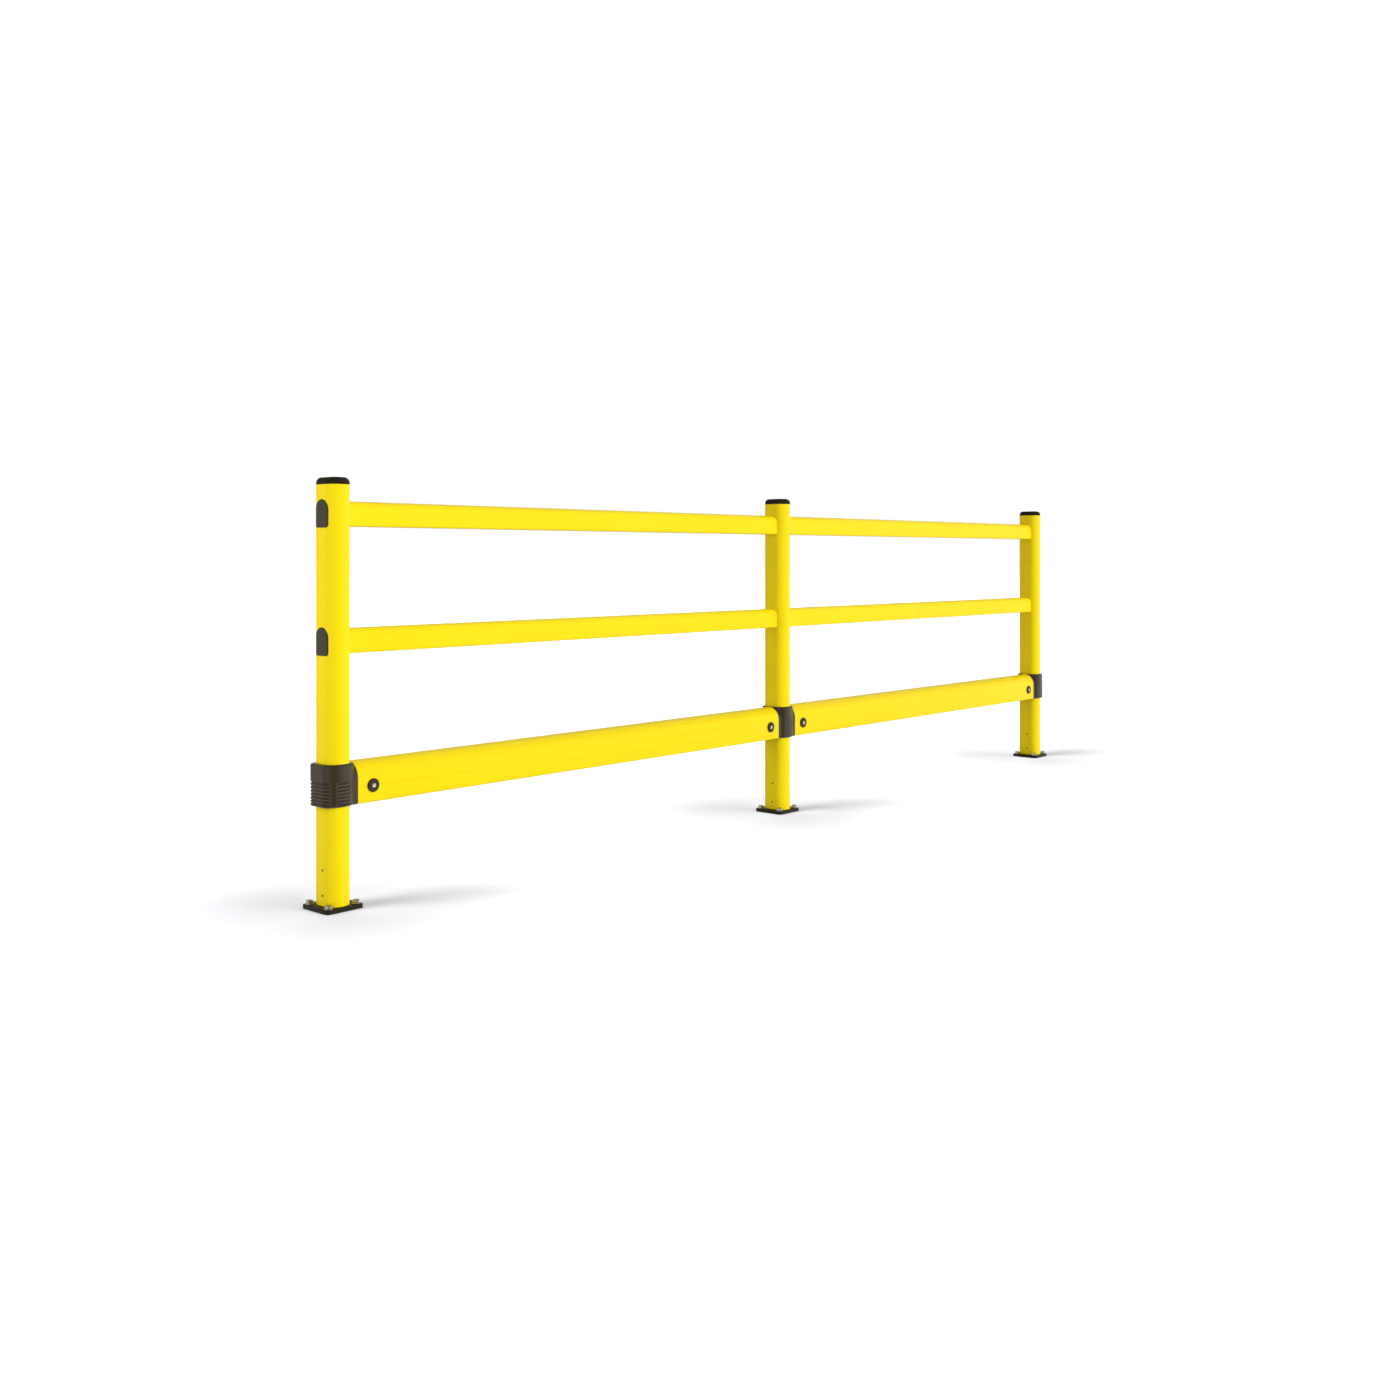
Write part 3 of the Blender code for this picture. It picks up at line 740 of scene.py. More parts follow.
def blend(tree, factor, first, second, kind="RGBA"):
    """A colour between two others, or a value between two numbers. Each may be a socket."""
    low, high, result = {"RGBA": (6, 7, 2), "FLOAT": (2, 3, 0)}[kind]
    return node(tree, "ShaderNodeMix", {0: factor, low: first, high: second}, data_type=kind)[result]


def bump(tree, height, strength, distance, below=None):
    """A Bump node over a height, on top of another bump's normal where one is given."""
    inputs = {"Height": height, "Strength": strength, "Distance": distance}
    if below is not None:
        inputs["Normal"] = below
    return node(tree, "ShaderNodeBump", inputs)["Normal"]


def stored_value(tree, name):
    """A value that is stored on a piece's points."""
    return node(tree, "ShaderNodeAttribute", attribute_name=name)["Fac"]


def shaded(tone, share):
    """A colour with all its channels raised or lowered."""
    return tuple(channel * share for channel in tone)


def surface(name, specular, scales, rough, relief, metallic=0.0):
    """A new material and its tree, with the cloud, roughness and fine relief that vary its surface."""
    made = bpy.data.materials.new(name)
    made.use_nodes = True
    tree = made.node_tree
    inputs = tree.nodes["Principled BSDF"].inputs
    inputs["Metallic"].default_value = metallic
    inputs["Specular IOR Level"].default_value = specular
    drift = effect(tree, soft_cloud(), {"Cloud Scale": scales[0], "Grain Scale": scales[1]})
    cloud = drift["Cloud"]
    return made, tree, cloud, ranged(tree, cloud, *rough), bump(tree, drift["Grain"], *relief)


def dressed(made, tone, rough, relief):
    """A material whose shader takes the given colour, roughness and normal."""
    inputs = made.node_tree.nodes["Principled BSDF"].inputs
    for label, socket in (("Base Color", tone), ("Roughness", rough), ("Normal", relief)):
        feed(made.node_tree, inputs[label], socket)
    return made


def yellow_look(name, tones, stretch, streak_share):
    """Satin extruded polymer, with streaks along its length and soft variation."""
    made, tree, cloud, rough, relief = surface(
        name, specular=0.14, scales=(3.0, 1400.0), rough=(0.36, 0.46), relief=(0.06, 0.0002)
    )
    streaks = effect(tree, drawn_streaks(), {"Stretch": stretch, "Detail": 4.0})
    scuffs = effect(tree, low_scuffs(), {"Reach": 0.45, "Amount": 0.28})["Mask"]
    streaked = calc(tree, "MULTIPLY", streaks["Mask"], streak_share)
    deep = calc(tree, "ADD", streaked, calc(tree, "MULTIPLY", cloud, 0.14), clamp=True)
    tone = blend(tree, deep, tones.yellow, tones.yellow_deep)
    tone = blend(tree, scuffs, tone, shaded(tones.yellow_deep, 0.72))
    rough = calc(tree, "ADD", rough, ranged(tree, scuffs, 0.0, 0.2))
    return dressed(made, tone, rough, bump(tree, streaks["Height"], 0.10, 0.0006, relief))


def charcoal_look(name, tones, specular, rough, shade):
    """Satin moulded polymer with a fine spark-eroded grain and paler scuffs, with a painted highlight on the
    rib crests and a painted shade in the grooves.
    """
    made, tree, cloud, rough, relief = surface(name, specular, (30.0, 1100.0), rough, relief=(0.16, 0.0003))
    scuffs = effect(tree, low_scuffs(), {"Reach": 1.6, "Amount": 0.35})["Mask"]
    body = shaded(tones.charcoal, shade)
    deep = shaded(tones.charcoal_deep, shade)
    # Painted shade: the grooves are darkened through their stored mask.
    tone = blend(tree, stored_value(tree, "rib_groove_shade"), blend(tree, cloud, body, deep), shaded(deep, 0.45))
    # Painted highlight on the rib crests. It shares one paler blend with the real scuffs.
    painted_highlight = calc(tree, "MULTIPLY", stored_value(tree, "rib_crest_highlight"), ranged(tree, cloud, 0.95, 0.6))
    tone = blend(tree, calc(tree, "MAXIMUM", scuffs, painted_highlight), tone, shaded(body, 3.0))
    return dressed(made, tone, rough, relief)


def cap_look(name, tones):
    """Near-black moulded cap with soft streaks across its crown."""
    made, tree, _, rough, relief = surface(
        name, specular=0.07, scales=(40.0, 1300.0), rough=(0.42, 0.56), relief=(0.10, 0.0003)
    )
    streaks = effect(tree, drawn_streaks(), {"Stretch": (26.0, 150.0, 60.0), "Detail": 3.0})["Mask"]
    tone = blend(tree, ranged(tree, streaks, 0.0, 0.7), tones.cap, tones.cap_streak)
    return dressed(made, tone, rough, relief)


def plate_look(name, tones):
    """Dark coated steel with warm patches and a slight orange peel."""
    made, tree, cloud, rough, relief = surface(
        name, specular=0.13, scales=(46.0, 520.0), rough=(0.38, 0.56), relief=(0.22, 0.0005)
    )
    scuffs = effect(tree, low_scuffs(), {"Reach": 0.2, "Amount": 0.5})["Mask"]
    tone = blend(tree, scuffs, blend(tree, cloud, tones.plate, tones.plate_tint), shaded(tones.plate, 2.6))
    return dressed(made, tone, rough, relief)


def plated_look(name, tones, body, tint, rough):
    """Zinc-plated steel, with a faint tint and fine turning marks."""
    made, tree, cloud, rough, relief = surface(
        name, specular=0.5, scales=(160.0, 1500.0), rough=rough, relief=(0.10, 0.0002), metallic=1.0
    )
    return dressed(made, blend(tree, cloud, getattr(tones, body), getattr(tones, tint)), rough, relief)


def screw_look(name, tones):
    """Dark coated screw heads with a faint wear."""
    made, tree, cloud, rough, relief = surface(
        name, specular=0.05, scales=(220.0, 1500.0), rough=(0.35, 0.5), relief=(0.10, 0.0002)
    )
    return dressed(made, blend(tree, cloud, tones.screw, shaded(tones.screw, 1.8)), rough, relief)


# Each finish with its slot, its maker and what else the maker takes: the stretch and share of the streaks,
# the specular level, roughness and shade of the charcoal, or the two tones and the roughness of the plating.
FINISHES = {
    "post_yellow": ("yellow_polymer", yellow_look, (60.0, 60.0, 0.8), 0.18),
    "traffic_rail_yellow": ("yellow_polymer", yellow_look, (0.7, 150.0, 150.0), 0.62),
    "handrail_yellow": ("yellow_polymer", yellow_look, (0.7, 120.0, 120.0), 0.34),
    "collar_charcoal": ("charcoal_polymer", charcoal_look, 0.34, (0.27, 0.36), 1.0),
    "plug_charcoal": ("charcoal_polymer", charcoal_look, 0.33, (0.32, 0.42), 1.0),
    "cup_charcoal": ("charcoal_polymer", charcoal_look, 0.24, (0.27, 0.36), 0.80),
    "cap_black": ("cap_polymer", cap_look),
    "plate_black": ("coated_plate", plate_look),
    "zinc_steel": ("zinc_plated_steel", plated_look, "steel", "steel_tint", (0.24, 0.40)),
    "anchor_steel": ("zinc_plated_steel", plated_look, "anchor", "anchor_tint", (0.34, 0.52)),
    "screw_steel": ("zinc_plated_steel", screw_look),
}


def material(name):
    """One of the barrier's finishes, made when it is first asked for."""
    maker, *traits = FINISHES[name][1:]
    return bpy.data.materials.get(name) or maker(name, chosen().finish, *traits)


class SAFETY_BARRIER_OT_posts(bpy.types.Operator):
    """Build the hollow posts with their creases and handrail openings"""

    bl_idname = "safety_barrier.posts"
    bl_label = "Posts"

    def execute(self, context):
        post = chosen().post
        for name, x in POST_PLACES.items():
            low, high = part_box(f"{name}_post")
            heights = [low[2], high[2]] + [low[2] + step * POST_ROW for step in range(1, 6)]
            openings = []
            for rail in LEVELS:
                bottom, top = (corner[2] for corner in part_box(f"left_bay_{rail}_handrail"))
                ends = [upright(handrail_loop(-CLEARANCE), x + side * post.along, bottom) for side in (-1, 1)]
                openings.append(skin(f"{rail}_opening", ends))
                heights += [bottom - OUTER_ROW, bottom + INNER_ROW, top - INNER_ROW, top + OUTER_ROW]
            outer = [(0.0, z) for z in sorted(heights)]
            inner = [(post.wall, z) for z in sorted(heights, reverse=True)]
            made = stack(f"{name}_post_finish", self.section, outer + inner, x, True)
            smooth(combine(made, openings, "DIFFERENCE"))
            gather("uprights", finish(made, "post_yellow", f"{name}_post"))
        return {"FINISHED"}

    def section(self, inset):
        """The post's section, with creases on its outside alone."""
        return post_loop(inset, creased=inset == 0)


class SAFETY_BARRIER_OT_caps(bpy.types.Operator):
    """Build the post caps with their rounded shoulders and skirts"""

    bl_idname = "safety_barrier.caps"
    bl_label = "Post Caps"

    def execute(self, context):
        post = chosen().post
        skirt = post.wall + CLEARANCE
        inner = skirt + SKIRT_WALL
        for name, x in POST_PLACES.items():
            low, high = (corner[2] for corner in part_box(f"{name}_post_cap"))
            seat = low + post.skirt_depth
            steps = [(inner, seat - SKIRT_GAP), (inner, low), (skirt, low), (skirt, seat)]
            steps += [(FINE_EDGE, seat), (0.0, seat + FINE_EDGE)]
            steps += [(inset, high - drop) for inset, drop in reversed(rounded(post.cap_shoulder))]
            steps.append((post.cap_shoulder + CAP_CROWN, high))
            made = smooth(stack(f"{name}_cap_finish", post_loop, steps, x))
            finish(made, "cap_black", f"{name}_post_cap")
        return {"FINISHED"}


class SAFETY_BARRIER_OT_feet(bpy.types.Operator):
    """Build the base plates with their anchor holes and the spigots that stand in the posts"""

    bl_idname = "safety_barrier.feet"
    bl_label = "Feet"

    def execute(self, context):
        post = chosen().post
        top = post.plate_thickness
        outer = post.wall + CLEARANCE
        inner = outer + SPIGOT_WALL
        apart = post.anchor_spacing / 2
        bore = [(post.anchor_hole / 2, z) for z in HOLE_CUTTER]
        for name, x in POST_PLACES.items():
            low, high = (corner[2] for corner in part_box(f"{name}_foot"))
            steps = [(inset, low + retreat) for inset, retreat in rounded(FINE_EDGE)]
            steps += [(inset, top - drop) for inset, drop in reversed(rounded(post.plate_edge))]
            made = stack(f"{name}_foot_finish", plate_loop, steps, x)
            steps = [(outer, top - OVERLAP), (outer, high), (inner, high), (inner, top - OVERLAP)]
            spigot = stack(f"{name}_spigot", post_loop, steps, x, True)
            spots = [(x + across * apart, back * apart, 0) for across in (-1, 1) for back in (-1, 1)]
            holes = [place(turned("anchor_hole", bore, False), "Z", 0, spot) for spot in spots]
            combine(made, holes, "DIFFERENCE")
            smooth(combine(made, [spigot], "UNION"))
            gather("uprights", finish(made, "plate_black", f"{name}_foot"))
        return {"FINISHED"}


class SAFETY_BARRIER_OT_collars(bpy.types.Operator):
    """Build the ribbed collars with their flanges and tongues"""

    bl_idname = "safety_barrier.collars"
    bl_label = "Ribbed Collars"

    def execute(self, context):
        collar = chosen().collar
        grooves = {
            "Lowest": RAIL_BOTTOM + collar.lowest_groove, "Pitch": collar.groove_pitch,
            "Count": collar.groove_count, "Width": collar.groove_width, "Depth": collar.groove_depth,
            "Material": material("collar_charcoal"),
        }
        bore = [(-CLEARANCE, RAIL_BOTTOM - OVERRUN), (-CLEARANCE, RAIL_TOP + OVERRUN)]
        for name, x in POST_PLACES.items():
            sides = RAIL_SIDES[name]
            made = run_nodes(self.body(name, x, collar), ribbed_sleeve(), grooves)
            additions = [maker(x, side, collar) for side in sides for maker in (self.flange, self.tongue)]
            combine(made, additions, "UNION")
            holes = [bolt_hole(x + side * BOLT_REACH) for side in sides]
            smooth(combine(made, [stack("bore", post_loop, bore, x), *holes], "DIFFERENCE"))
            room = made.data.attributes.get("rib_room")
            if room is not None:
                made.data.attributes.remove(room)
            gather("uprights", finish(made, "collar_charcoal", f"{name}_collar"))
        return {"FINISHED"}

    def body(self, name, x, collar):
        """The collar's solid body, fine enough for its grooves, with rib_room on its wall."""
        reaches = [collar.rail_reach if side in RAIL_SIDES[name] else collar.outer_reach for side in (-1, 1)]
        along = sum(reaches)
        centre = (reaches[1] - reaches[0]) / 2
        steps = [(inset, RAIL_BOTTOM + retreat) for inset, retreat in rounded(collar.edge)]
        start = steps[-1][1]
        ribs_end = RAIL_BOTTOM + collar.lowest_groove + collar.groove_pitch * collar.groove_count
        first = len(steps)
        rows = int((ribs_end - start) / ROW_SPACING)
        steps += [(0.0, start + ROW_SPACING * (row + 1)) for row in range(rows)]
        steps += [(0.0, ribs_end + (RAIL_TOP - collar.edge - ribs_end) * share) for share in (0.35, 0.7)]
        steps += [(inset, RAIL_TOP - drop) for inset, drop in reversed(rounded(collar.edge))]

        def section(inset):
            """The collar's section or one inside it."""
            return oval_loop(along, collar.across, collar.flat, inset, centre=centre)

        made = stack(f"{name}_collar_finish", section, steps, x)
        room = made.data.attributes.new("rib_room", "FLOAT", "POINT")
        flat = collar.flat / 2
        rise = collar.across / 2 - flat
        count = len(section(0.0))
        for index, vert in enumerate(made.data.vertices):
            if first <= index // count < first + rows:
                over = max(abs(vert.co.y) - flat, 0) / rise
                slope = math.atan2(over, abs(vert.co.x - x - centre) / (along / 2))
                away = abs(math.degrees(slope) - RUN_OUT_MIDDLE) - RUN_OUT_FLAT
                share = min(max(away / RUN_OUT_FADE, 0), 1)
                room.data[index].value = share * share * (3 - 2 * share)
        return made

    def flange(self, x, side, collar):
        """The arch-shaped flange that a rail's end butts against."""
        reach = RAIL_START - CLEARANCE
        rings = [upright(traffic_loop(), x + side * (reach - collar.flange), RAIL_BOTTOM)]
        for inset, retreat in reversed(rounded(collar.flange_edge)):
            rings.append(upright(traffic_loop(inset), x + side * (reach - retreat), RAIL_BOTTOM))
        return skin("flange", rings)

    def tongue(self, x, side, collar):
        """The hollow tongue that enters the rail."""
        outer = chosen().rail.traffic_wall + CLEARANCE
        inner = outer + TONGUE_WALL
        start = RAIL_START - CLEARANCE - OVERLAP
        end = RAIL_START + collar.tongue
        steps = ((outer, start), (outer, end), (inner, end), (inner, start))
        rings = [upright(traffic_loop(inset), x + side * reach, RAIL_BOTTOM) for inset, reach in steps]
        return skin("tongue", rings, True)


def hollow_rail(node, section, wall):
    """A hollow rail over a solid's length, with its sawn ends slightly rounded."""
    low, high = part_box(node)
    span = high[0] - low[0]
    ends = rounded(chosen().rail.end_edge)
    steps = [(inset, low[0] + retreat) for inset, retreat in ends]
    steps += [(0.0, low[0] + span * share) for share in (0.01, 0.04, 0.3, 0.7, 0.96, 0.99)]
    steps += [(inset, high[0] - retreat) for inset, retreat in reversed(ends)]
    steps += [(wall, x) for x in (high[0], low[0] + span * 0.7, low[0] + span * 0.3, low[0])]
    return skin(f"{node}_finish", [upright(section(inset), x, low[2]) for inset, x in steps], True)


class SAFETY_BARRIER_OT_traffic_rails(bpy.types.Operator):
    """Build the hollow traffic rails with their bolt holes"""

    bl_idname = "safety_barrier.traffic_rails"
    bl_label = "Traffic Rails"

    def execute(self, context):
        for bay in BAYS:
            node = f"{bay}_traffic_rail"
            holes = [bolt_hole(middle_of(f"{bay}_{end}_rail_bolt").x) for end in ("near", "far")]
            made = hollow_rail(node, traffic_loop, chosen().rail.traffic_wall)
            smooth(combine(made, holes, "DIFFERENCE"))
            finish(made, "traffic_rail_yellow", node)
        return {"FINISHED"}


class SAFETY_BARRIER_OT_handrails(bpy.types.Operator):
    """Build the hollow handrails"""

    bl_idname = "safety_barrier.handrails"
    bl_label = "Handrails"

    def execute(self, context):
        for node in [f"{bay}_{rail}_handrail" for bay in BAYS for rail in LEVELS]:
            made = smooth(hollow_rail(node, handrail_loop, chosen().rail.handrail_wall))
            finish(made, "handrail_yellow", node)
        return {"FINISHED"}


class SAFETY_BARRIER_OT_plugs(bpy.types.Operator):
    """Build the handrail end plugs, whose faces follow the posts' outer sides"""

    bl_idname = "safety_barrier.plugs"
    bl_label = "Handrail Plugs"

    def execute(self, context):
        post = chosen().post
        rail = chosen().rail
        flat = post.flat / 2
        rise = post.across / 2 - flat
        lip = rail.plug_lip
        face = rail.plug_face
        inner = rail.handrail_wall + CLEARANCE
        steps = [(inner, CLEARANCE), (-lip, CLEARANCE), (-lip, face * 0.5), (face * 0.25 - lip, face * 0.85)]
        steps.append((face * 0.8 - lip, face))
        steps += [(inset, face) for inset in (0.0, 0.004, 0.008, 0.012, 0.016, 0.020, 0.0235)]

        def reach(y, proud):
            """How far the post's outer side reaches at a place across it, and a little more."""
            over = min(max((abs(y) - flat) / rise, 0), 1)
            return post.along / 2 * math.sqrt(1 - over * over) + proud

        for name, side in (("left", -1), ("right", 1)):
            x = POST_PLACES[name]
            for node in [f"{name}_{level}_handrail_plug" for level in LEVELS]:
                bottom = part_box(node)[0][2] + lip
                inside = post.along / 2 - (size_of(node).x - face)
                rings = [upright(handrail_loop(inner), x + side * inside, bottom)]
                for inset, proud in steps:
                    loop = handrail_loop(inset)
                    rings.append([Vector((x + side * reach(y, proud), y, bottom + z)) for y, z in loop])
                finish(smooth(skin(f"{node}_finish", rings)), "plug_charcoal", node)
        return {"FINISHED"}


class SAFETY_BARRIER_OT_rail_bolts(bpy.types.Operator):
    """Build the rail bolts with their nuts and the cup washers in front and behind"""

    bl_idname = "safety_barrier.rail_bolts"
    bl_label = "Rail Bolts"

    def execute(self, context):
        fixing = chosen().fixing
        wall = RAIL_SIZE.y / 2 + CLEARANCE
        seat = wall + CLEARANCE + fixing.cup_floor
        bore = fixing.bolt_shank / 2 + CLEARANCE
        rows = [(2, (BAY_LENGTH - 2 * BOLT_REACH, 0, 0)), (2, (BAY_LENGTH, 0, 0))]
        profiles = (
            ("front_cup_washer", self.cup(fixing, wall, bore), True, -1, "cup_charcoal"),
            ("back_cup_washer", self.cup(fixing, wall, bore), True, 1, "cup_charcoal"),
            ("rail_bolt", self.bolt(fixing, seat), False, -1, "zinc_steel"),
            ("rail_nut", self.nut(fixing, seat, bore), True, 1, "zinc_steel"),
        )
        for label, profile, hollow, side, look in profiles:
            made = place(turned(f"{label}s_finish", profile, hollow), "X", -90 * side)
            spread_out(made, look, rows, (0, 0, BOLT_PLACE.z))
            finish(made, look, *[f"{bay}_{end}_{label}" for bay in BAYS for end in ("near", "far")])
        return {"FINISHED"}

    def cup(self, fixing, wall, bore):
        """The profile of a domed cup washer with a recess."""
        outer = CUP_SIZE.x / 2
        recess = fixing.cup_recess / 2
        floor = wall + fixing.cup_floor
        top = wall + CUP_SIZE.y
        rim = wall + CUP_RIM
        profile = [(bore, wall), (outer - FINE_EDGE, wall), (outer, wall + FINE_EDGE), (outer, rim)]
        profile += dome(outer, outer - recess - CUP_LIP, rim, CUP_SIZE.y - CUP_RIM, 10)
        profile += [(recess + 0.0003, top - 0.0002), (recess, top - CUP_LIP)]
        return profile + [(recess, floor + EDGE_BREAK), (recess - EDGE_BREAK, floor), (bore, floor)]

    def bolt(self, fixing, seat):
        """The profile of a bolt with a rounded socket head, right through the rail."""
        head = fixing.bolt_head / 2
        height = fixing.head_height
        tail = -(RAIL_SIZE.y / 2 + CUP_SIZE.y)
        shank = fixing.bolt_shank / 2
        top = seat + height
        wall = seat + height * BOLT_WALL
        profile = [(shank - SHANK_CHAMFER, tail), (shank, tail + SHANK_CHAMFER), (shank, seat)]
        profile += [(head - HEAD_EDGE, seat), (head, seat + HEAD_EDGE), (head, wall)]
        profile += dome(head, head * BOLT_CROWN, wall, top - wall, 6)
        profile += [(hexagon(SOCKET_FLATS + FINE_EDGE), top), (hexagon(SOCKET_FLATS), top - EDGE_BREAK)]
        return profile + [(hexagon(SOCKET_FLATS), wall)]

    def nut(self, fixing, seat, bore):
        """The profile of a hexagon nut with chamfered corners."""
        top = seat + fixing.head_height
        shape = hexagon(fixing.bolt_head)
        face = fixing.bolt_head * NUT_FACE

        def upper(angle):
            """Where the nut's side ends under its chamfer."""
            return top - max(shape(angle) - face, 0) * NUT_CHAMFER

        profile = [(bore, seat), (shape, seat), (shape, upper), (face, top)]
        return profile + [(bore + 0.0005, top), (bore, top - 0.0005)]


class SAFETY_BARRIER_OT_anchors(bpy.types.Operator):
    """Build the floor anchors with their washers, four to a base plate"""

    bl_idname = "safety_barrier.anchors"
    bl_label = "Floor Anchors"

    def execute(self, context):
        post = chosen().post
        fixing = chosen().fixing
        top = post.plate_thickness + WASHER_GAP
        apart = post.anchor_spacing
        rows = [(2, (apart, 0, 0)), (2, (0, apart, 0)), (3, (BAY_LENGTH, 0, 0))]
        parts = [self.washer(fixing, top), self.bolt(fixing, top + fixing.washer_thickness + HEAD_GAP)]
        made = place(join("floor_anchors", parts), "Z", ANCHOR_TURN)
        spread_out(made, "anchor_steel", rows)
        gather("uprights", finish(made, "anchor_steel"))
        return {"FINISHED"}

    def washer(self, fixing, seat):
        """A plain washer with rounded edges."""
        outer = fixing.washer_diameter / 2
        bore = fixing.anchor_shank / 2 + CLEARANCE
        top = seat + fixing.washer_thickness
        profile = [(bore, seat), (outer - EDGE_BREAK, seat), (outer, seat + EDGE_BREAK)]
        profile += [(outer, top - FINE_EDGE), (outer - 0.0002, top - 0.0002), (outer - FINE_EDGE, top)]
        profile += [(bore + EDGE_BREAK, top), (bore, top - EDGE_BREAK)]
        return turned("anchor_washer", profile)

    def bolt(self, fixing, seat):
        """A hexagon-headed anchor with a chamfered, slightly domed head."""
        flats = fixing.anchor_flats
        top = seat + fixing.anchor_head
        shank = fixing.anchor_shank / 2
        face = flats * ANCHOR_FACE
        shape = hexagon(flats, flats * ANCHOR_CORNER)

        def upper(angle):
            """Where the head's side ends under its chamfer."""
            return top - max(shape(angle) - face, 0) * ANCHOR_CHAMFER - EDGE_BREAK

        profile = [(shank - 0.0015, 0.0005), (shank, 0.0025), (shank, seat)]
        profile += [(hexagon(flats, flats / 2), seat), (shape, seat + SHANK_CHAMFER)]
        profile += [(shape, upper), (face, top)]
        for share in (0.2, 0.4, 0.6, 0.8):
            profile.append((face * (1 - share), top + HEAD_DOME * math.sin(share * math.pi / 2)))
        return turned("anchor_bolt", profile, False)


class SAFETY_BARRIER_OT_post_screws(bpy.types.Operator):
    """Build the screws that fix the posts to their spigots, on both sides of each post"""

    bl_idname = "safety_barrier.post_screws"
    bl_label = "Post Screws"

    def execute(self, context):
        fixing = chosen().fixing
        radius = fixing.screw_head / 2
        rise = fixing.screw_rise
        profile = [(radius - 0.0002, 0.0001), (radius, 0.0003), (radius, rise * 0.3)]
        profile += dome(radius, radius * 0.3, rise * 0.3, rise * 0.7, 5)
        profile += [(hexagon(radius * 1.1), rise), (hexagon(radius), rise * 0.3)]
        sides = []
        for side in (-1, 1):
            screw = turned("post_screw", profile, False, SCREW_SIDES)
            sides.append(place(screw, "Y", 90 * side, (side * chosen().post.along / 2, 0, 0)))
        rows = [(2, (0, 0, fixing.upper_screw - fixing.lower_screw)), (3, (BAY_LENGTH, 0, 0))]
        centre = (0, -fixing.screw_offset, (fixing.upper_screw + fixing.lower_screw) / 2)
        finish(spread_out(join("post_screws", sides), "screw_steel", rows, centre), "screw_steel")
        return {"FINISHED"}


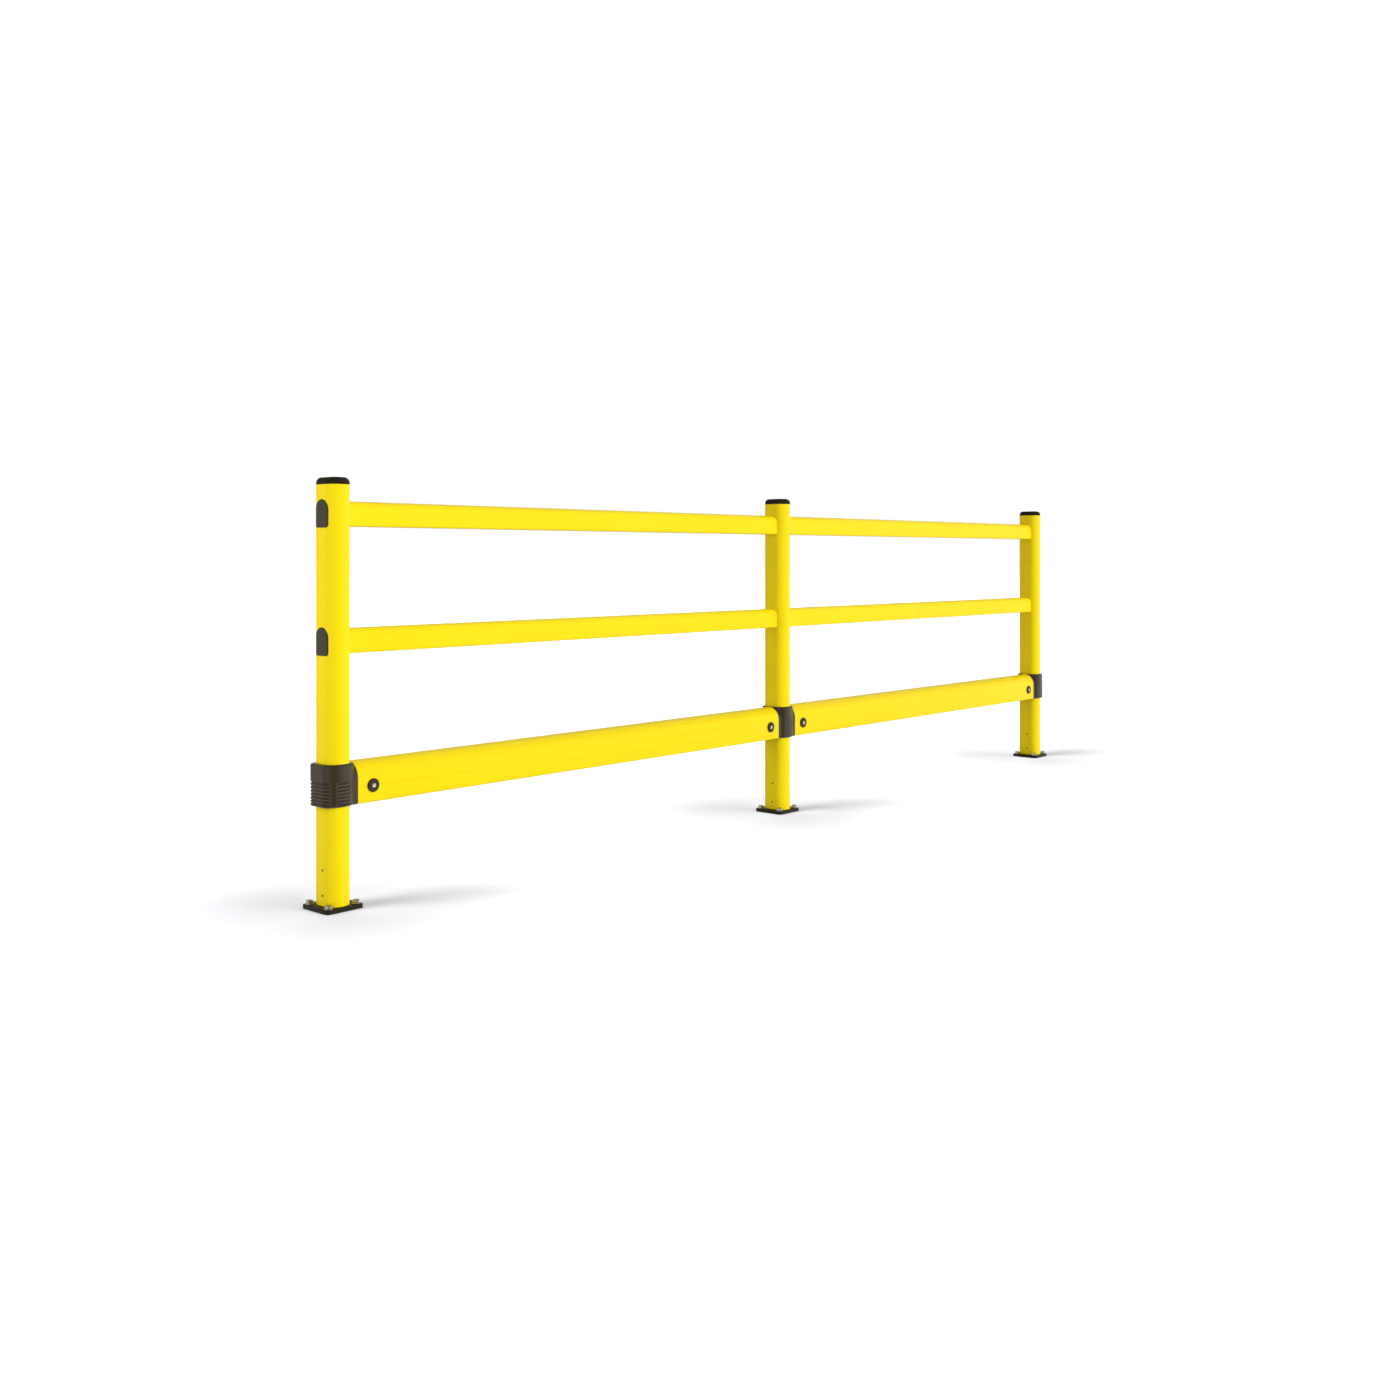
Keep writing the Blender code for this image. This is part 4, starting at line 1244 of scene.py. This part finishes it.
class SAFETY_BARRIER_OT_stage(bpy.types.Operator):
    """Lay the floor, and set up the camera and the studio light"""

    bl_idname = "safety_barrier.stage"
    bl_label = "Stage"

    def execute(self, context):
        stage = chosen().stage
        floor = self.floor(stage)
        self.sky(context.scene, stage)
        camera = add_object("photo_camera", bpy.data.cameras.new("photo_camera"))
        camera.data.lens = stage.focal_length
        camera.data.sensor_width = stage.sensor
        camera.data.shift_y = stage.camera_shift
        camera.data.clip_end = VIEW_END
        camera.location = stage.camera_place
        camera.rotation_euler = (math.radians(90), 0, stage.camera_turn)
        context.scene.camera = camera
        pieces = bpy.data.collections["barrier_pieces"]
        self.soft_light("front_light", FRONT_LIGHT, stage.front_strength, pieces)
        self.soft_light("right_light", RIGHT_LIGHT, stage.back_strength, pieces)
        self.side_light(stage.side_power, pieces)
        floor_only = gather("floor_only", floor)
        for label, spot, strength in FLOOR_LIGHTS:
            lamp = self.soft_light(f"{label}_floor_light", spot, strength, floor_only)
            lamp.light_linking.blocker_collection = bpy.data.collections["uprights"]
        context.scene.view_settings.view_transform = "Standard"
        return {"FINISHED"}

    def floor(self, stage):
        """A wide pale floor that keeps the barrier's shadow, and that the camera sees as white, with a
        painted shade that dims it round each foot.
        """
        work = bmesh.new()
        bmesh.ops.create_grid(work, x_segments=1, y_segments=1, size=FLOOR_SIZE)
        floor = add_piece("studio_floor", work)
        made = bpy.data.materials.new("studio_floor")
        made.use_nodes = True
        tree = made.node_tree
        tree.nodes.remove(tree.nodes["Principled BSDF"])
        tints = [shaded(FLOOR_TINT, pale) for pale in (stage.floor_shaded_near_feet, stage.floor_far)]
        seen = blend(tree, self.feet_shade_fade(tree), *tints)
        camera_ray = node(tree, "ShaderNodeLightPath")["Is Camera Ray"]
        tone = blend(tree, camera_ray, [stage.floor_grey] * 3, seen)
        matt = node(tree, "ShaderNodeBsdfDiffuse", {"Color": tone})[0]
        feed(tree, tree.nodes["Material Output"].inputs["Surface"], matt)
        floor.data.materials.append(made)
        floor.visible_glossy = False
        return floor

    def feet_shade_fade(self, tree):
        """A mask that rises from nothing near each foot to one away from them all. It sets the painted shade
        that dims the floor round each foot.
        """
        spot = split(tree, object_place(tree))
        bays = calc(tree, "DIVIDE", spot["X"], BAY_LENGTH)
        nearest = calc(tree, "ROUND", calc(tree, "MINIMUM", calc(tree, "MAXIMUM", bays, -1.0), 1.0))
        along = calc(tree, "MULTIPLY", calc(tree, "SUBTRACT", bays, nearest), BAY_LENGTH)
        squares = [calc(tree, "MULTIPLY", reach, reach) for reach in (along, spot["Y"])]
        away = calc(tree, "SQRT", calc(tree, "ADD", *squares))
        return ranged(tree, away, 0.0, 1.0, *FEET_SHADE_REACH, shape="SMOOTHSTEP")

    def sky(self, scene, stage):
        """Room light, dim from above and the dark front, bright from the right. The camera sees white."""
        world = bpy.data.worlds.new("studio_sky")
        world.use_nodes = True
        scene.world = world
        tree = world.node_tree
        where = node(tree, "ShaderNodeTexCoord")["Generated"]
        dark, bright = (
            node(tree, "ShaderNodeVectorMath", {0: where, 1: side}, operation="DOT_PRODUCT")["Value"]
            for side in (DARK_SIDE, BRIGHT_SIDE)
        )
        room = ranged(tree, split(tree, where)["Z"], stage.around, stage.overhead)
        gain = calc(tree, "ADD", calc(tree, "MULTIPLY", bright, stage.bright_side), 1.0)
        open_side = ranged(tree, dark, stage.dark_side, 1.0, *DARK_SIDE_EDGE, shape="SMOOTHSTEP")
        lit = calc(tree, "MULTIPLY", room, gain, open_side)
        camera_ray = node(tree, "ShaderNodeLightPath")["Is Camera Ray"]
        background = tree.nodes["Background"].inputs
        feed(tree, background["Color"], (1, 1, 1))
        feed(tree, background["Strength"], blend(tree, camera_ray, lit, 1.0, "FLOAT"))

    def soft_light(self, name, spot, strength, receivers):
        """A broad far light for matt surfaces, which lights one collection."""
        turn, rise, softness = (math.radians(angle) for angle in spot)
        lamp = add_object(name, bpy.data.lights.new(name, "SUN"))
        lamp.data.energy = strength
        lamp.data.angle = softness
        lamp.rotation_euler = (math.radians(90) - rise, 0, turn)
        lamp.visible_glossy = False
        lamp.light_linking.receiver_collection = receivers
        return lamp

    def side_light(self, power, receivers):
        """A soft light behind the left post, which fades along the barrier."""
        lamp = add_object("side_light", bpy.data.lights.new("side_light", "AREA"))
        lamp.data.shape = "RECTANGLE"
        lamp.data.size, lamp.data.size_y = SIDE_LIGHT_SIZE
        lamp.data.energy = power
        lamp.visible_camera = False
        lamp.visible_glossy = False
        lamp.location = SIDE_LIGHT_PLACE
        lamp.rotation_euler = (SIDE_LIGHT_AIM - SIDE_LIGHT_PLACE).to_track_quat("-Z", "Y").to_euler()
        lamp.light_linking.receiver_collection = receivers


OPERATORS = (
    SAFETY_BARRIER_OT_posts, SAFETY_BARRIER_OT_caps, SAFETY_BARRIER_OT_feet, SAFETY_BARRIER_OT_collars,
    SAFETY_BARRIER_OT_traffic_rails, SAFETY_BARRIER_OT_handrails, SAFETY_BARRIER_OT_plugs,
    SAFETY_BARRIER_OT_rail_bolts, SAFETY_BARRIER_OT_anchors, SAFETY_BARRIER_OT_post_screws,
    SAFETY_BARRIER_OT_stage,
)


class SAFETY_BARRIER_PT_panel(bpy.types.Panel):
    """Sizes, colours and building steps of the barrier"""

    bl_idname = "SAFETY_BARRIER_PT_panel"
    bl_label = "Safety Barrier"
    bl_space_type = "VIEW_3D"
    bl_region_type = "UI"
    bl_category = "Safety Barrier"

    def draw(self, context):
        settings = context.scene.safety_barrier
        for operator in OPERATORS:
            self.layout.operator(operator.bl_idname)
        for label in ("post", "collar", "rail", "fixing", "finish", "stage"):
            box = self.layout.box()
            box.label(text=label.title())
            group = getattr(settings, label)
            for name in group.bl_rna.properties.keys():
                if name not in ("rna_type", "name"):
                    box.prop(group, name)


CLASSES = (
    BarrierPostSettings, BarrierCollarSettings, BarrierRailSettings, BarrierFixingSettings,
    BarrierFinishSettings, BarrierStageSettings, BarrierSettings, *OPERATORS, SAFETY_BARRIER_PT_panel,
)


def register():
    """Registers the classes and the settings."""
    for item in CLASSES:
        bpy.utils.register_class(item)
    settings = part_of(BarrierSettings, "Safety Barrier", "Settings of the safety barrier")
    bpy.types.Scene.safety_barrier = settings


def unregister():
    """Removes the settings and the classes."""
    del bpy.types.Scene.safety_barrier
    for item in reversed(CLASSES):
        bpy.utils.unregister_class(item)


def main():
    """Builds everything in order."""
    register()
    bpy.ops.safety_barrier.posts()
    bpy.ops.safety_barrier.caps()
    bpy.ops.safety_barrier.feet()
    bpy.ops.safety_barrier.collars()
    bpy.ops.safety_barrier.traffic_rails()
    bpy.ops.safety_barrier.handrails()
    bpy.ops.safety_barrier.plugs()
    bpy.ops.safety_barrier.rail_bolts()
    bpy.ops.safety_barrier.anchors()
    bpy.ops.safety_barrier.post_screws()
    bpy.ops.safety_barrier.stage()


if __name__ == "__main__":
    main()
